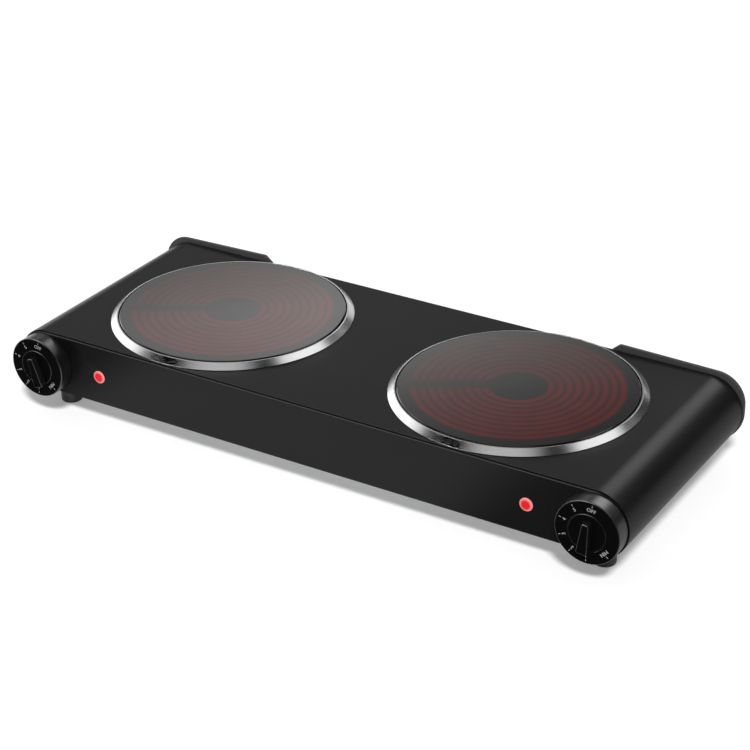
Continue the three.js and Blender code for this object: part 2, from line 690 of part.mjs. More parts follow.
/** Disc with a tapered pointer grip, drawn pointing down and turned to its place at rest. */
function knob(side, x) {
  const disc = turnedForward(
    [
      [0, boreEnd],
      [shaftBore, boreEnd],
      [shaftBore, hubBack],
      [hubRadius, hubBack],
      [hubRadius, knobBack],
      [KNOB_RADIUS, knobBack],
      [KNOB_RADIUS, knobFace - KNOB_EDGE],
      [KNOB_RADIUS - KNOB_EDGE, knobFace],
      [0, knobFace],
    ],
    DIAL_SIDES,
    x * dialX,
    dialZ,
  );
  const taper = mirrored([
    at(GRIP_POINT_WIDTH / 2 - GRIP_EDGE, -GRIP_POINT),
    at(GRIP_POINT_WIDTH / 2, GRIP_EDGE - GRIP_POINT),
    at(GRIP_TAIL_WIDTH / 2, GRIP_TAIL - GRIP_EDGE),
    at(GRIP_TAIL_WIDTH / 2 - GRIP_EDGE, GRIP_TAIL),
  ]);
  const back = knobFace - KNOB_EDGE - GRIP_EDGE;
  const grip = slab(taper, -gripFace, -back, GRIP_EDGE)
    .rotate([0, GRIP_REST[side], 0])
    .translate([x * dialX, faceY, dialZ]);
  const overBezel = turnedForward(
    [
      [KNOB_RADIUS, hubBack],
      [BEZEL_RADIUS, hubBack],
      [BEZEL_RADIUS, BEZEL_HEIGHT + GAP],
      [KNOB_RADIUS, BEZEL_HEIGHT + GAP],
    ],
    DIAL_SIDES,
    x * dialX,
    dialZ,
  );
  return join(disc, cut(grip, overBezel));
}

const shaft = (x) =>
  rodForward(SHAFT_RADIUS, regulatorFront - SHAFT_IN_REGULATOR, shaftFront, SMALL_SIDES, x * dialX, dialZ);

/** Rotary energy regulator: block, bush through the panel and two blades at the back. */
function regulator(x) {
  const { width, depth, height } = REGULATOR;
  const frontY = faceY - regulatorFront;
  const block = box(
    [x * dialX - width / 2, frontY, dialZ - height / 2],
    [x * dialX + width / 2, frontY + depth, dialZ + height / 2],
  );
  const bush = rodForward(bushRadius, regulatorFront - BUSH_WALL, bushFront, SMALL_SIDES, x * dialX, dialZ);
  const bore = rodForward(
    shaftBore,
    regulatorFront - SHAFT_IN_REGULATOR - FIT,
    bushFront + FIT,
    SMALL_SIDES,
    x * dialX,
    dialZ,
  );
  const blades = [-1, 1].map((end) => {
    const centre = x * dialX + (end * BLADE.spacing) / 2;
    return box(
      [centre - BLADE.width / 2, frontY + depth - BLADE.thickness, dialZ - BLADE.thickness / 2],
      [centre + BLADE.width / 2, frontY + depth + BLADE.length, dialZ + BLADE.thickness / 2],
    );
  });
  const screwBores = [-1, 1].map((end) =>
    rodForward(
      screwHole,
      regulatorFront - SCREW_PROUD - FIT,
      bushFront,
      SCREW_SIDES,
      x * dialX + (end * regulatorScrewSpacing) / 2,
      dialZ,
    ),
  );
  return cut(join(block, bush, ...blades), bore, ...screwBores);
}

// ---------------------------------------------------------------- pilot lamps
function lampLens(x) {
  const back = -PANEL_STEEL - LENS_SHANK_LENGTH;
  const dome = Array.from({ length: LENS_STEPS }, (_, i) => {
    const angle = ((i / LENS_STEPS) * Math.PI) / 2;
    return [LENS_RADIUS * Math.cos(angle), GAP + LENS_EDGE + LENS_DOME * Math.sin(angle)];
  });
  return turnedForward(
    [
      [0, back],
      [LENS_SHANK_RADIUS, back],
      [LENS_SHANK_RADIUS, GAP],
      [LENS_RADIUS, GAP],
      ...dome,
      [0, GAP + LENS_EDGE + LENS_DOME],
    ],
    SMALL_SIDES,
    x * lampX,
    dialZ,
  );
}

/** Sleeve behind the panel, around the lens's shank. */
function lampHolder(x) {
  const inner = LENS_SHANK_RADIUS + FIT;
  const outer = inner + HOLDER_WALL;
  const back = -PANEL_STEEL - HOLDER_LENGTH;
  const floor = -PANEL_STEEL - LENS_SHANK_LENGTH - FIT;
  return turnedForward(
    [
      [0, back],
      [outer, back],
      [outer, regulatorFront],
      [inner, regulatorFront],
      [inner, floor],
      [0, floor],
    ],
    SMALL_SIDES,
    x * lampX,
    dialZ,
  );
}

// ---------------------------------------------------------------- feet and rear fittings
/** Round foot with a deep recess for its screw. */
function foot() {
  const top = basePlateBottom - GAP;
  return turned(
    [
      [FOOT_RADIUS - FOOT_EDGE, 0],
      [FOOT_RADIUS, FOOT_EDGE],
      [FOOT_RADIUS, top],
      [screwHole, top],
      [screwHole, FOOT_RECESS_DEPTH],
      [FOOT_RECESS_RADIUS, FOOT_RECESS_DEPTH],
      [FOOT_RECESS_RADIUS, 0],
    ],
    FOOT_SIDES,
  );
}

/** A piece turned about Y at the cord's hole: heights run rearwards from the rear panel's outer face. */
const turnedRearward = (profile, sides) =>
  turned(profile, sides).rotate([-90, 0, 0]).translate([0, shoulderBackY, dialZ]);

function cordGland() {
  const back = -rearStack - GLAND_NUT_THICKNESS - 2 * GAP;
  const flange = GAP + GLAND_FLANGE_THICKNESS;
  return turnedRearward(
    [
      [GLAND_BORE_RADIUS, back],
      [glandNeck, back],
      [glandNeck, GAP],
      [glandNeck + GLAND_FLANGE, GAP],
      [glandNeck + GLAND_FLANGE, flange],
      [glandNeck, flange],
      [glandNeck - GLAND_WALL / 3, flange + GLAND_NOSE],
      [GLAND_BORE_RADIUS, flange + GLAND_NOSE],
    ],
    SMALL_SIDES,
  );
}

function glandNut() {
  const front = -rearStack - GAP;
  const inner = glandNeck + FIT;
  const outer = inner + GLAND_NUT_WALL;
  const back = front - GLAND_NUT_THICKNESS;
  return turnedRearward([[inner, back], [outer, back], [outer, front], [inner, front]], SMALL_SIDES);
}

function terminalBlock() {
  const { poles, width, depth, height } = TERMINAL;
  const low = basePlateTop + GAP;
  const block = box([-width / 2, terminalY, low], [width / 2, terminalY + depth, low + height]);
  const grooves = Array.from({ length: poles - 1 }, (_, i) => {
    const centre = (i + 1 - poles / 2) * (width / poles);
    return box(
      [centre - TERMINAL_GROOVE.width / 2, terminalY - GAP, low + height - TERMINAL_GROOVE.depth],
      [centre + TERMINAL_GROOVE.width / 2, terminalY + depth + GAP, low + height + GAP],
    );
  });
  return cut(block, ...grooves);
}

// ---------------------------------------------------------------- wiring
/** A sleeved lead through hand-chosen points. */
function lead(points) {
  const section = new THREE.Shape();
  section.absarc(0, 0, LEAD_RADIUS, 0, 2 * Math.PI);
  const route = new THREE.CatmullRomCurve3(points.map((point) => new THREE.Vector3(...point)));
  const geometry = new THREE.ExtrudeGeometry(section, {
    steps: LEAD_STEPS,
    curveSegments: LEAD_SIDES / 2,
    bevelEnabled: false,
    extrudePath: route,
  });
  return solid(geometry);
}

/** Where the limiter's switch stands under each burner. */
function limiterFoot(x) {
  const angle = THREE.MathUtils.degToRad(BREAK_ANGLE);
  const reach = panOuter + GAP + LIMITER_HEAD.length / 2;
  return [
    x * burnerX + reach * Math.cos(angle),
    reach * Math.sin(angle),
    coverTop - RING_SKIRT - GAP - LIMITER_HEAD.height - GAP,
  ];
}

const bladeTipY = faceY - regulatorFront + REGULATOR.depth + BLADE.length + GAP;
const leadFloor = basePlateTop + LEAD_CLEARANCE;

/** From the terminal block to the regulator's outer blade. */
const supplyLead = (x) => {
  const start = x * (TERMINAL.width / 2 + GAP);
  const startY = terminalY + TERMINAL.depth / 2;
  const end = x * (dialX + BLADE.spacing / 2);
  return lead([
    [start, startY, leadFloor],
    [start + x * LEAD_STRAIGHT, startY, leadFloor],
    [x * burnerX, SUPPLY_ROUTE.rear, leadFloor],
    [end - x * SUPPLY_ROUTE.inboard, SUPPLY_ROUTE.middle, leadFloor],
    [end, -SUPPLY_ROUTE.front, leadFloor + SUPPLY_ROUTE.lift],
    [end, bladeTipY + LEAD_STRAIGHT, dialZ],
    [end, bladeTipY, dialZ],
  ]);
};

/** From the regulator's inner blade to the limiter's switch. */
const elementLead = (x) => {
  const start = x * (dialX - BLADE.spacing / 2);
  const [endX, endY, endZ] = limiterFoot(x);
  return lead([
    [start, bladeTipY, dialZ],
    [start, bladeTipY + LEAD_STRAIGHT, dialZ],
    [(start * 3 + endX) / 4, -ELEMENT_ROUTE.front, leadFloor + ELEMENT_ROUTE.lift],
    [(start + endX) / 2, -ELEMENT_ROUTE.middle, leadFloor],
    [(start + endX * 3) / 4, -ELEMENT_ROUTE.front, leadFloor],
    [endX, endY, endZ - LEAD_STRAIGHT],
    [endX, endY, endZ],
  ]);
};

// ---------------------------------------------------------------- assembly
add("top_cover", topCover(), BLACK_PAINT);
add("front_panel", frontPanel(), BLACK_PAINT);
add("rear_panel", rearPanel(), BLACK_PLASTIC);
add("base_plate", basePlate(), PLAIN_STEEL);

for (const [side, x] of SIDES) {
  const burner = new THREE.Group();
  burner.position.set(x * burnerX, 0, coverTop);
  hotPlate.add(burner);
  add("trim_ring_" + side, trimRing(), BRIGHT_STEEL, burner);
  add("glass_" + side, glassDisc(), DARK_GLASS, burner);
  add("glass_seal_" + side, glassSeal(), SILICONE, burner);
  const element = new THREE.Group();
  element.rotation.z = THREE.MathUtils.degToRad(BREAK_ANGLE);
  burner.add(element);
  add("element_pan_" + side, elementPan(), PLAIN_STEEL, element);
  add("insulation_" + side, insulation(), MINERAL_WOOL, element);
  add("heating_ribbon_" + side, heatingRibbon(), HOT_RIBBON, element);
  add("thermal_limiter_" + side, thermalLimiter(), CERAMIC, element);

  const bracket = new THREE.Group();
  bracket.position.x = x * burnerX;
  hotPlate.add(bracket);
  add("element_bracket_" + side, elementBracket(), PLAIN_STEEL, bracket);
  for (const [place, end] of [["inner", -x], ["outer", x]]) {
    const length = basePlateTop - basePlateBottom + BRACKET.steel + 2 * GAP + SCREW_PROUD;
    const fastener = screw(length).translate([end * bracketScrewX, 0, basePlateBottom - GAP]);
    add("bracket_screw_" + place + "_" + side, fastener, PLAIN_STEEL, bracket);
  }

  add("dial_bezel_" + side, dialBezel(x), BLACK_PLASTIC);
  add("knob_" + side, knob(side, x), BLACK_PLASTIC);
  add("regulator_shaft_" + side, shaft(x), BRASS);
  add("regulator_" + side, regulator(x), CERAMIC);
  for (const [place, end] of [["inner", -x], ["outer", x]]) {
    const length = GAP + PANEL_STEEL + GAP + SCREW_PROUD;
    const fastener = screw(length)
      .rotate([-90, 0, 0])
      .translate([x * dialX + (end * regulatorScrewSpacing) / 2, faceY - GAP, dialZ]);
    add("regulator_screw_" + place + "_" + side, fastener, PLAIN_STEEL);
  }
  add("lamp_lens_" + side, lampLens(x), RED_LENS);
  add("lamp_holder_" + side, lampHolder(x), BLACK_PLASTIC);
  add("supply_lead_" + side, supplyLead(x), SLEEVE);
  add("element_lead_" + side, elementLead(x), SLEEVE);
}

for (const [place, x, y, out] of FEET) {
  const stand = new THREE.Group();
  stand.position.set(x * out, y * footY, 0);
  hotPlate.add(stand);
  add("foot_" + place, foot(), RUBBER, stand);
  const length = basePlateTop - FOOT_RECESS_DEPTH + GAP + SCREW_PROUD;
  add("foot_screw_" + place, screw(length).translate([0, 0, FOOT_RECESS_DEPTH - GAP]), PLAIN_STEEL, stand);
  const fastener = screw(basePlateTop - bodyBottom + GAP + SCREW_PROUD).translate([
    x * BASE_SCREW_X,
    y * baseScrewY,
    bodyBottom - GAP,
  ]);
  add("base_screw_" + place, fastener, PLAIN_STEEL);
}

add("terminal_block", terminalBlock(), CERAMIC);
add("cord_gland", cordGland(), BLACK_PLASTIC);
add("gland_nut", glandNut(), BLACK_PLASTIC);

export default hotPlate;
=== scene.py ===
"""Looks of a double infrared hot plate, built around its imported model.

Metres throughout: +X along the body, the controls face -Y, +Z up, the floor at Z = 0.
Each sub-assembly is a class that holds its own sizes, makes its pieces and gives them a finish.
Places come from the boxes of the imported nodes.
"""

import json
import logging
import math
from dataclasses import KW_ONLY, dataclass, field
from enum import Enum
from typing import Iterable, Optional, Sequence, Union

import bmesh
import bpy
from mathutils import Matrix, Vector


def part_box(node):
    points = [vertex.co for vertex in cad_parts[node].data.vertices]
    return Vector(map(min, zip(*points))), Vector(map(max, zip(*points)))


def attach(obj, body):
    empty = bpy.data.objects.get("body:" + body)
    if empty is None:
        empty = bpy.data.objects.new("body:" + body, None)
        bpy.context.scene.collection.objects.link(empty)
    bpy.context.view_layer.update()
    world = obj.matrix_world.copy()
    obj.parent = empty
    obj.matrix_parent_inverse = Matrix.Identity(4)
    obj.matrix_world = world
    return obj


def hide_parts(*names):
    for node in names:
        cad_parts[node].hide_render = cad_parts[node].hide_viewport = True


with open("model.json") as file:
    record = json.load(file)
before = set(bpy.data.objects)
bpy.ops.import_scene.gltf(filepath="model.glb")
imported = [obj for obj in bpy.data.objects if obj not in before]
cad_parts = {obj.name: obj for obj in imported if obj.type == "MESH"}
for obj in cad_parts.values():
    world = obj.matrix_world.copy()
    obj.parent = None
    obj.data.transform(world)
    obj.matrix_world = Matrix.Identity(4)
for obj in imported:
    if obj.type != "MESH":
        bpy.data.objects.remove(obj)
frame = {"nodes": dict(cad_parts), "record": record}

logging.basicConfig(level=logging.INFO, format="%(message)s")
log = logging.getLogger("hot_plate")

MM = 0.001
KEEN, SLIGHT, SMALL, SOFT = 0.1 * MM, 0.2 * MM, 0.3 * MM, 0.5 * MM  # radii of rounded corners
SAME_SPOT = 1e-7  # points closer than this are one point
NOISE_SPAN = (0.3, 0.7)  # holds most values of a noise pattern
WIDE_SPAN = (0.2, 0.8)  # holds nearly all of them
SUM_SPAN = (0.6, 1.4)  # holds most values of two patterns added
FACES_FRONT = 0.97  # cosine to the front from which a face of a dial takes the darker, matt black that paints shade
BLACK, WHITE = (0, 0, 0, 1), (1, 1, 1, 1)
SIDES = ("left", "right")

Mesh = bmesh.types.BMesh
Edges = list[bmesh.types.BMEdge]
Points = Sequence[Vector]
Triple = tuple[float, float, float]
Span = tuple[float, float]
Corner = tuple[float, ...]
Material = bpy.types.Material
Object = bpy.types.Object
Socket = bpy.types.NodeSocket
Value = Union[float, Sequence[float], Socket]


# ---- boxes and outlines
@dataclass(frozen=True)
class Box:
    """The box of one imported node."""

    low: Vector
    high: Vector

    @classmethod
    def of(cls, node: str) -> "Box":
        """Returns the box of the named node."""
        low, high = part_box(node)
        return cls(low, high)

    @property
    def centre(self) -> Vector:
        """The middle of the box."""
        return (self.low + self.high) / 2


def rounded(corners: Sequence[Corner], closed: bool = True, steps: int = 5) -> list[Vector]:
    """Turns corners into the points of an outline.

    Args:
        corners: Two coordinates each, and the radius of those that are rounded off.
        closed: Whether the last corner joins the first.
        steps: Facets on each rounded corner.

    Returns:
        The outline's points, two numbers each.
    """
    spots = [Vector(corner[:2]) for corner in corners]
    points: list[Vector] = []
    for index, (here, corner) in enumerate(zip(spots, corners)):
        if len(corner) < 3 or (not closed and index in (0, len(spots) - 1)):
            points.append(here)
            continue
        back = (spots[index - 1] - here).normalized()
        ahead = (spots[(index + 1) % len(spots)] - here).normalized()
        half = back.angle(ahead) / 2
        centre = here + (back + ahead).normalized() * (corner[2] / math.sin(half))
        reach = corner[2] / math.tan(half)
        start = here + back * reach - centre
        end = here + ahead * reach - centre
        turn = math.atan2(start.x * end.y - start.y * end.x, start.dot(end))
        for step in range(steps + 1):
            cosine, sine = math.cos(turn * step / steps), math.sin(turn * step / steps)
            spoke = (start.x * cosine - start.y * sine, start.x * sine + start.y * cosine)
            points.append(centre + Vector(spoke))
    return points


def arc(centre: Vector, radius: float, start: float, end: float, steps: int) -> list[Vector]:
    """Returns the points of an arc between two angles in degrees."""
    turns = (math.radians(start + (end - start) * step / steps) for step in range(steps + 1))
    return [centre + radius * Vector((math.cos(turn), math.sin(turn))) for turn in turns]


def circle(centre: Vector, radius: float, steps: int) -> list[Vector]:
    """Returns the points of a full circle."""
    return arc(centre, radius, 0, 360 * (steps - 1) / steps, steps - 1)


def mirrored(half: Points) -> list[Vector]:
    """Returns a right-hand half outline followed by its mirror image."""
    return [*half, *(Vector((-point.x, point.y)) for point in reversed(half))]


def offset(points: Points, distance: float) -> list[Vector]:
    """Returns a closed outline, drawn anticlockwise, moved inwards by a distance."""
    moved = []
    for index, point in enumerate(points):
        before = (point - points[index - 1]).normalized()
        after = (points[(index + 1) % len(points)] - point).normalized()
        mean = (before + after).normalized()
        moved.append(point + Vector((-mean.y, mean.x)) * (distance / max(mean.dot(after), 0.5)))
    return moved


def rounding(radius: float, steps: int) -> list[Span]:
    """Returns the inset and depth pairs of a rim's rounding, from the side wall to the face."""
    turns = (math.radians(90 * step / steps) for step in range(steps + 1))
    return [(radius * (1 - math.cos(turn)), radius * (1 - math.sin(turn))) for turn in turns]


# ---- mesh work
class Facing(Enum):
    """Where the axis of a turned piece points, as the turn that takes +Z there."""

    UP = Matrix.Identity(4)
    FRONT = Matrix.Rotation(math.pi / 2, 4, "X")
    BACK = Matrix.Rotation(-math.pi / 2, 4, "X")


def close(bm: Mesh) -> None:
    """Merges doubled points, drops faces without area and turns the rest outwards."""
    bmesh.ops.remove_doubles(bm, verts=bm.verts, dist=SAME_SPOT)
    bmesh.ops.dissolve_degenerate(bm, dist=SAME_SPOT / 10, edges=bm.edges)
    bmesh.ops.recalc_face_normals(bm, faces=bm.faces)


def turned(profile: Points, origin: Vector, facing: Facing, steps: int) -> Mesh:
    """Spins a profile into a solid.

    Args:
        profile: Points as radius and height. One that touches the axis starts and ends on it.
        origin: Where height 0 on the axis lies.
        facing: Where the axis points.
        steps: Facets round the axis.

    Returns:
        The closed solid.
    """
    bm = bmesh.new()
    verts = [bm.verts.new((point.x, 0, point.y)) for point in profile]
    geom = [*verts, *(bm.edges.new(pair) for pair in zip(verts, verts[1:]))]
    if profile[0].x > 0:
        geom.append(bm.edges.new((verts[-1], verts[0])))
    whole = {"cent": (0, 0, 0), "axis": (0, 0, 1), "angle": 2 * math.pi, "use_merge": True}
    bmesh.ops.spin(bm, geom=geom, steps=steps, **whole)
    close(bm)
    bmesh.ops.transform(bm, matrix=Matrix.Translation(origin) @ facing.value, verts=bm.verts)
    return bm


def ring(bm: Mesh, spots: Iterable[Sequence[float]]) -> Edges:
    """Draws a closed loop through spots in space and returns its edges."""
    verts = [bm.verts.new(spot) for spot in spots]
    return [bm.edges.new((verts[i - 1], verts[i])) for i in range(len(verts))]


def upright(bm: Mesh, points: Points, y: float) -> Edges:
    """Draws a closed loop of X and Z points in a plane of constant Y and returns its edges."""
    return ring(bm, ((point.x, y, point.y) for point in points))


def level(bm: Mesh, points: Points, z: float) -> Edges:
    """Draws a closed loop of X and Y points at one height and returns its edges."""
    return ring(bm, ((point.x, point.y, z) for point in points))


def only(items: Iterable[object], kind: type) -> list:
    """Returns the items of one kind."""
    return [item for item in items if isinstance(item, kind)]


def fill(bm: Mesh, *loops: Edges) -> list[bmesh.types.BMFace]:
    """Fills the flat region between loops and returns its faces."""
    edges = [edge for group in loops for edge in group]
    made = bmesh.ops.triangle_fill(bm, use_beauty=True, use_dissolve=False, edges=edges)
    return only(made["geom"], bmesh.types.BMFace)


def bridge(bm: Mesh, *loops: Edges) -> None:
    """Joins each loop to the next with a band of faces."""
    for first, second in zip(loops, loops[1:]):
        bmesh.ops.bridge_loops(bm, edges=[*first, *second])


def face_outwards(bm: Mesh, way: Vector) -> None:
    """Makes an open sheet's faces agree, with its furthest face along a direction facing that way."""
    bmesh.ops.recalc_face_normals(bm, faces=bm.faces)
    furthest = max(bm.faces, key=lambda face: face.calc_center_median().dot(way) + 1e-3 * face.calc_area())
    if furthest.normal.dot(way) < 0:
        bmesh.ops.reverse_faces(bm, faces=bm.faces)


def shade_fronts(bm: Mesh) -> None:
    """Gives the second finish, a darker matt black that paints shade, to the faces that look to the front."""
    bm.normal_update()
    for face in bm.faces:
        if face.normal.dot(Vector((0, -1, 0))) >= FACES_FRONT:
            face.material_index = 1


# ---- objects
def linked(name: str, data: bpy.types.ID) -> Object:
    """Returns a new object in the scene that holds the data."""
    item = bpy.data.objects.new(name, data)
    bpy.context.scene.collection.objects.link(item)
    return item


def settled(name: str, bm: Mesh) -> Object:
    """Returns a mesh, which is used up, as a new object in the scene."""
    mesh = bpy.data.meshes.new(name)
    bm.to_mesh(mesh)
    bm.free()
    return linked(name, mesh)


def soften(piece: Object, name: str, width: float, degrees: float) -> None:
    """Adds a bevel of that name to the edges that turn by more than an angle."""
    bevel = piece.modifiers.new(name, "BEVEL")
    bevel.width = width
    bevel.segments = 2
    bevel.limit_method = "ANGLE"
    bevel.angle_limit = math.radians(degrees)
    bevel.harden_normals = True


def keep_flat(piece: Object) -> None:
    """Weights normals by area, so that flat faces stay flat beside their rounded rims."""
    weights = piece.modifiers.new("flat faces", "WEIGHTED_NORMAL")
    weights.mode = "FACE_AREA"
    weights.weight = 50
    weights.keep_sharp = True


def thicken(piece: Object, thickness: float, edge: float = 0.0) -> None:
    """Gives a sheet its wall, inwards from its faces, and softens the wall's rims."""
    wall = piece.modifiers.new("sheet thickness", "SOLIDIFY")
    wall.thickness = thickness
    wall.offset = -1
    wall.use_even_offset = True
    if edge > 0:
        soften(piece, "sheared edge", edge, 50)
    keep_flat(piece)


@dataclass(frozen=True)
class Piece:
    """How a finished mesh joins the object."""

    name: str
    slot: str
    replaces: tuple[str, ...] = ()
    body: str = "base"
    sharp_degrees: float = 32.0
    edge: float = 0.0
    flat_faces: bool = True

    def place(self, bm: Mesh, *materials: Material) -> Object:
        """Makes the object from its mesh, which is used up.

        Args:
            bm: The mesh, in the row's frame.
            materials: Its finishes, by material index.

        Returns:
            The object, riding on its body.
        """
        piece = settled(self.name, bm)
        mesh = piece.data
        for material in materials:
            mesh.materials.append(material)
        mesh.polygons.foreach_set("use_smooth", [True] * len(mesh.polygons))
        mesh.set_sharp_from_angle(angle=math.radians(self.sharp_degrees))
        if self.edge > 0:
            soften(piece, "rounded edges", self.edge, self.sharp_degrees)
        if self.flat_faces:
            keep_flat(piece)
        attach(piece, self.body)
        if self.replaces:
            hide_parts(*self.replaces)
        log.info("piece %s: %d faces on %s", self.name, len(mesh.polygons), self.body)
        return piece


# ---- node work
class Nodes:
    """A node tree, built a node at a time around its shader."""

    def __init__(self, owner: Union[Material, bpy.types.World], kind: str = "BSDF_PRINCIPLED") -> None:
        """Opens the owner's tree at its shader of that kind."""
        owner.use_nodes = True
        self.tree = owner.node_tree
        self.shader = next(node for node in self.tree.nodes if node.type == kind)

    def feed(self, socket: Socket, value: Value) -> None:
        """Gives a socket a number, a colour or a link."""
        if isinstance(value, bpy.types.NodeSocket):
            self.tree.links.new(value, socket)
        else:
            socket.default_value = value

    def add(self, kind: str, feeds: Optional[dict[str, Value]] = None, **settings: object) -> bpy.types.Node:
        """Adds a node, sets the given properties on it and feeds its named sockets."""
        node = self.tree.nodes.new(kind)
        for name, value in settings.items():
            setattr(node, name, value)
        for name, value in (feeds or {}).items():
            self.feed(node.inputs[name], value)
        return node

    def set(self, **inputs: Value) -> None:
        """Feeds the shader's sockets, named with underscores for spaces."""
        for name, value in inputs.items():
            self.feed(self.shader.inputs[name.replace("_", " ")], value)

    def math(self, operation: str, *values: Value, clamp: bool = False) -> Socket:
        """Returns the result of a Math node."""
        node = self.add("ShaderNodeMath", operation=operation, use_clamp=clamp)
        for socket, value in zip(node.inputs, values):
            self.feed(socket, value)
        return node.outputs[0]

    def plus(self, first: Value, second: Value) -> Socket:
        """Returns the sum of two values."""
        return self.math("ADD", first, second)

    def minus(self, first: Value, second: Value) -> Socket:
        """Returns the difference of two values."""
        return self.math("SUBTRACT", first, second)

    def times(self, first: Value, *others: Value) -> Socket:
        """Returns the product of the values."""
        for other in others:
            first = self.math("MULTIPLY", first, other)
        return first

    def size(self, value: Value) -> Socket:
        """Returns a value without its sign."""
        return self.math("ABSOLUTE", value)

    def length(self, a: Socket, b: Socket) -> Socket:
        """Returns how far a point with these two coordinates lies from the origin."""
        return self.math("SQRT", self.plus(self.times(a, a), self.times(b, b)))

    def place(self, centre: Triple = (0, 0, 0), turn: float = 0.0, stretch: Triple = (1, 1, 1)) -> Socket:
        """Returns object coordinates from a centre, with +X turned by degrees about Z, then stretched."""
        feeds = {
            "Vector": self.add("ShaderNodeTexCoord").outputs["Object"],
            "Location": centre,
            "Rotation": (0, 0, math.radians(turn)),
            "Scale": [1 / factor for factor in stretch],
        }
        return self.add("ShaderNodeMapping", feeds, vector_type="TEXTURE").outputs["Vector"]

    def split(self, vector: Socket) -> tuple[Socket, Socket, Socket]:
        """Returns a vector's three numbers."""
        return tuple(self.add("ShaderNodeSeparateXYZ", {"Vector": vector}).outputs)

    def noise(self, vector: Socket, scale: float, detail: float = 2.0, roughness: float = 0.5) -> Socket:
        """Returns a noise pattern between 0 and 1."""
        feeds = {"Vector": vector, "Scale": scale, "Detail": detail, "Roughness": roughness}
        return self.add("ShaderNodeTexNoise", feeds).outputs["Fac"]

    def spread(
        self, value: Socket, low: float, high: float, to_low: float, to_high: float, soft: bool = False
    ) -> Socket:
        """Maps a stretch of values onto another, clamped at both ends."""
        feeds = {"Value": value, "From Min": low, "From Max": high, "To Min": to_low, "To Max": to_high}
        way = "SMOOTHSTEP" if soft else "LINEAR"
        return self.add("ShaderNodeMapRange", feeds, interpolation_type=way).outputs["Result"]

    def ramp(self, value: Socket, stops: Sequence[Span]) -> Socket:
        """Returns a number read off a row of (place, number) stops."""
        node = self.add("ShaderNodeFloatCurve", {"Value": value})
        curve = node.mapping.curves[0]
        top = max(number for _, number in stops)
        while len(curve.points) < len(stops):
            curve.points.new(0.5, 0.5)
        for point, (place, number) in zip(curve.points, stops):
            point.location = (place, number / top)
            point.handle_type = "VECTOR"
        node.mapping.update()
        return self.times(node.outputs[0], top)

    def blend(self, share: Value, first: Value, second: Value) -> Socket:
        """Returns a colour between two colours."""
        node = self.add("ShaderNodeMix", {"Factor": share}, data_type="RGBA")
        colours = (socket for socket in node.inputs if socket.type == "RGBA")
        for socket, value in zip(colours, (first, second)):
            self.feed(socket, value)
        return next(socket for socket in node.outputs if socket.type == "RGBA")

    def bump(self, height: Socket, depth: float) -> None:
        """Gives the shader a bumpy normal of that depth in metres."""
        node = self.add("ShaderNodeBump", {"Height": height, "Distance": depth, "Strength": 1.0})
        self.set(Normal=node.outputs["Normal"])

    def rays(self) -> tuple[Socket, Socket]:
        """Returns whether a ray comes from the camera, and whether a mirror or glass sends it."""
        path = self.add("ShaderNodeLightPath").outputs
        return path["Is Camera Ray"], self.math("MAXIMUM", path["Is Glossy Ray"], path["Is Transmission Ray"])


def shade(colour: Sequence[float], factor: float = 1.0) -> tuple[float, float, float, float]:
    """Returns a colour with its alpha, lightened or darkened by a factor."""
    return (colour[0] * factor, colour[1] * factor, colour[2] * factor, 1.0)


# ---- finishes
Patterns = tuple[Socket, Socket, Socket]


@dataclass(frozen=True)
class Finish:
    """A surface whose colour, gloss and relief follow patterns that each kind of finish draws.

    The colour runs between two factors of it, the tints. The roughness runs between two factors of it,
    the sheens, as its pattern crosses the span.
    """

    name: str
    colour: Triple
    roughness: float
    _: KW_ONLY
    tints: Span = (1.0, 1.0)
    sheens: Span = (1.0, 1.0)
    span: Span = NOISE_SPAN
    depth: float = 0.01 * MM
    specular: float = 0.5
    metallic: float = 0.0

    def material(self) -> Material:
        """Builds the material."""
        material = bpy.data.materials.new(self.name)
        self.wire(Nodes(material))
        return material

    def wire(self, nodes: Nodes) -> None:
        """Feeds the shader from the patterns."""
        tone, gloss, relief = self.patterns(nodes)
        nodes.set(
            Base_Color=self.tint(nodes, tone),
            Roughness=self.sheen(nodes, gloss),
            Metallic=self.metallic,
            Specular_IOR_Level=self.specular,
        )
        nodes.bump(relief, self.depth)

    def patterns(self, nodes: Nodes) -> Patterns:
        """Returns the patterns of the colour, the gloss and the relief."""
        raise NotImplementedError

    def tint(self, nodes: Nodes, share: Socket) -> Socket:
        """Returns the colour between its tints."""
        return nodes.blend(share, shade(self.colour, self.tints[0]), shade(self.colour, self.tints[1]))

    def sheen(self, nodes: Nodes, value: Socket) -> Socket:
        """Returns the roughness between its sheens."""
        smooth, rough = (self.roughness * factor for factor in self.sheens)
        return nodes.spread(value, *self.span, smooth, rough)


@dataclass(frozen=True, kw_only=True)
class Coat(Finish):
    """A coat or moulding with fine orange peel and mottled colour and gloss."""

    mottle: float = 0.12
    peel_scale: float = 900.0
    tints: Span = (0.7, 1.3)
    sheens: Span = (0.88, 1.12)
    span: Span = SUM_SPAN

    def patterns(self, nodes: Nodes) -> Patterns:
        """Returns the mottling, the mottling with the peel, and the peel."""
        place = nodes.place()
        broad = nodes.noise(place, 14.0, 4.0, 0.55)
        fine = nodes.noise(place, self.peel_scale, 3.0, 0.6)
        tone = nodes.spread(broad, *NOISE_SPAN, 1 - self.mottle, 1 + self.mottle)
        return nodes.math("SUBTRACT", tone, 0.5, clamp=True), nodes.plus(broad, fine), fine


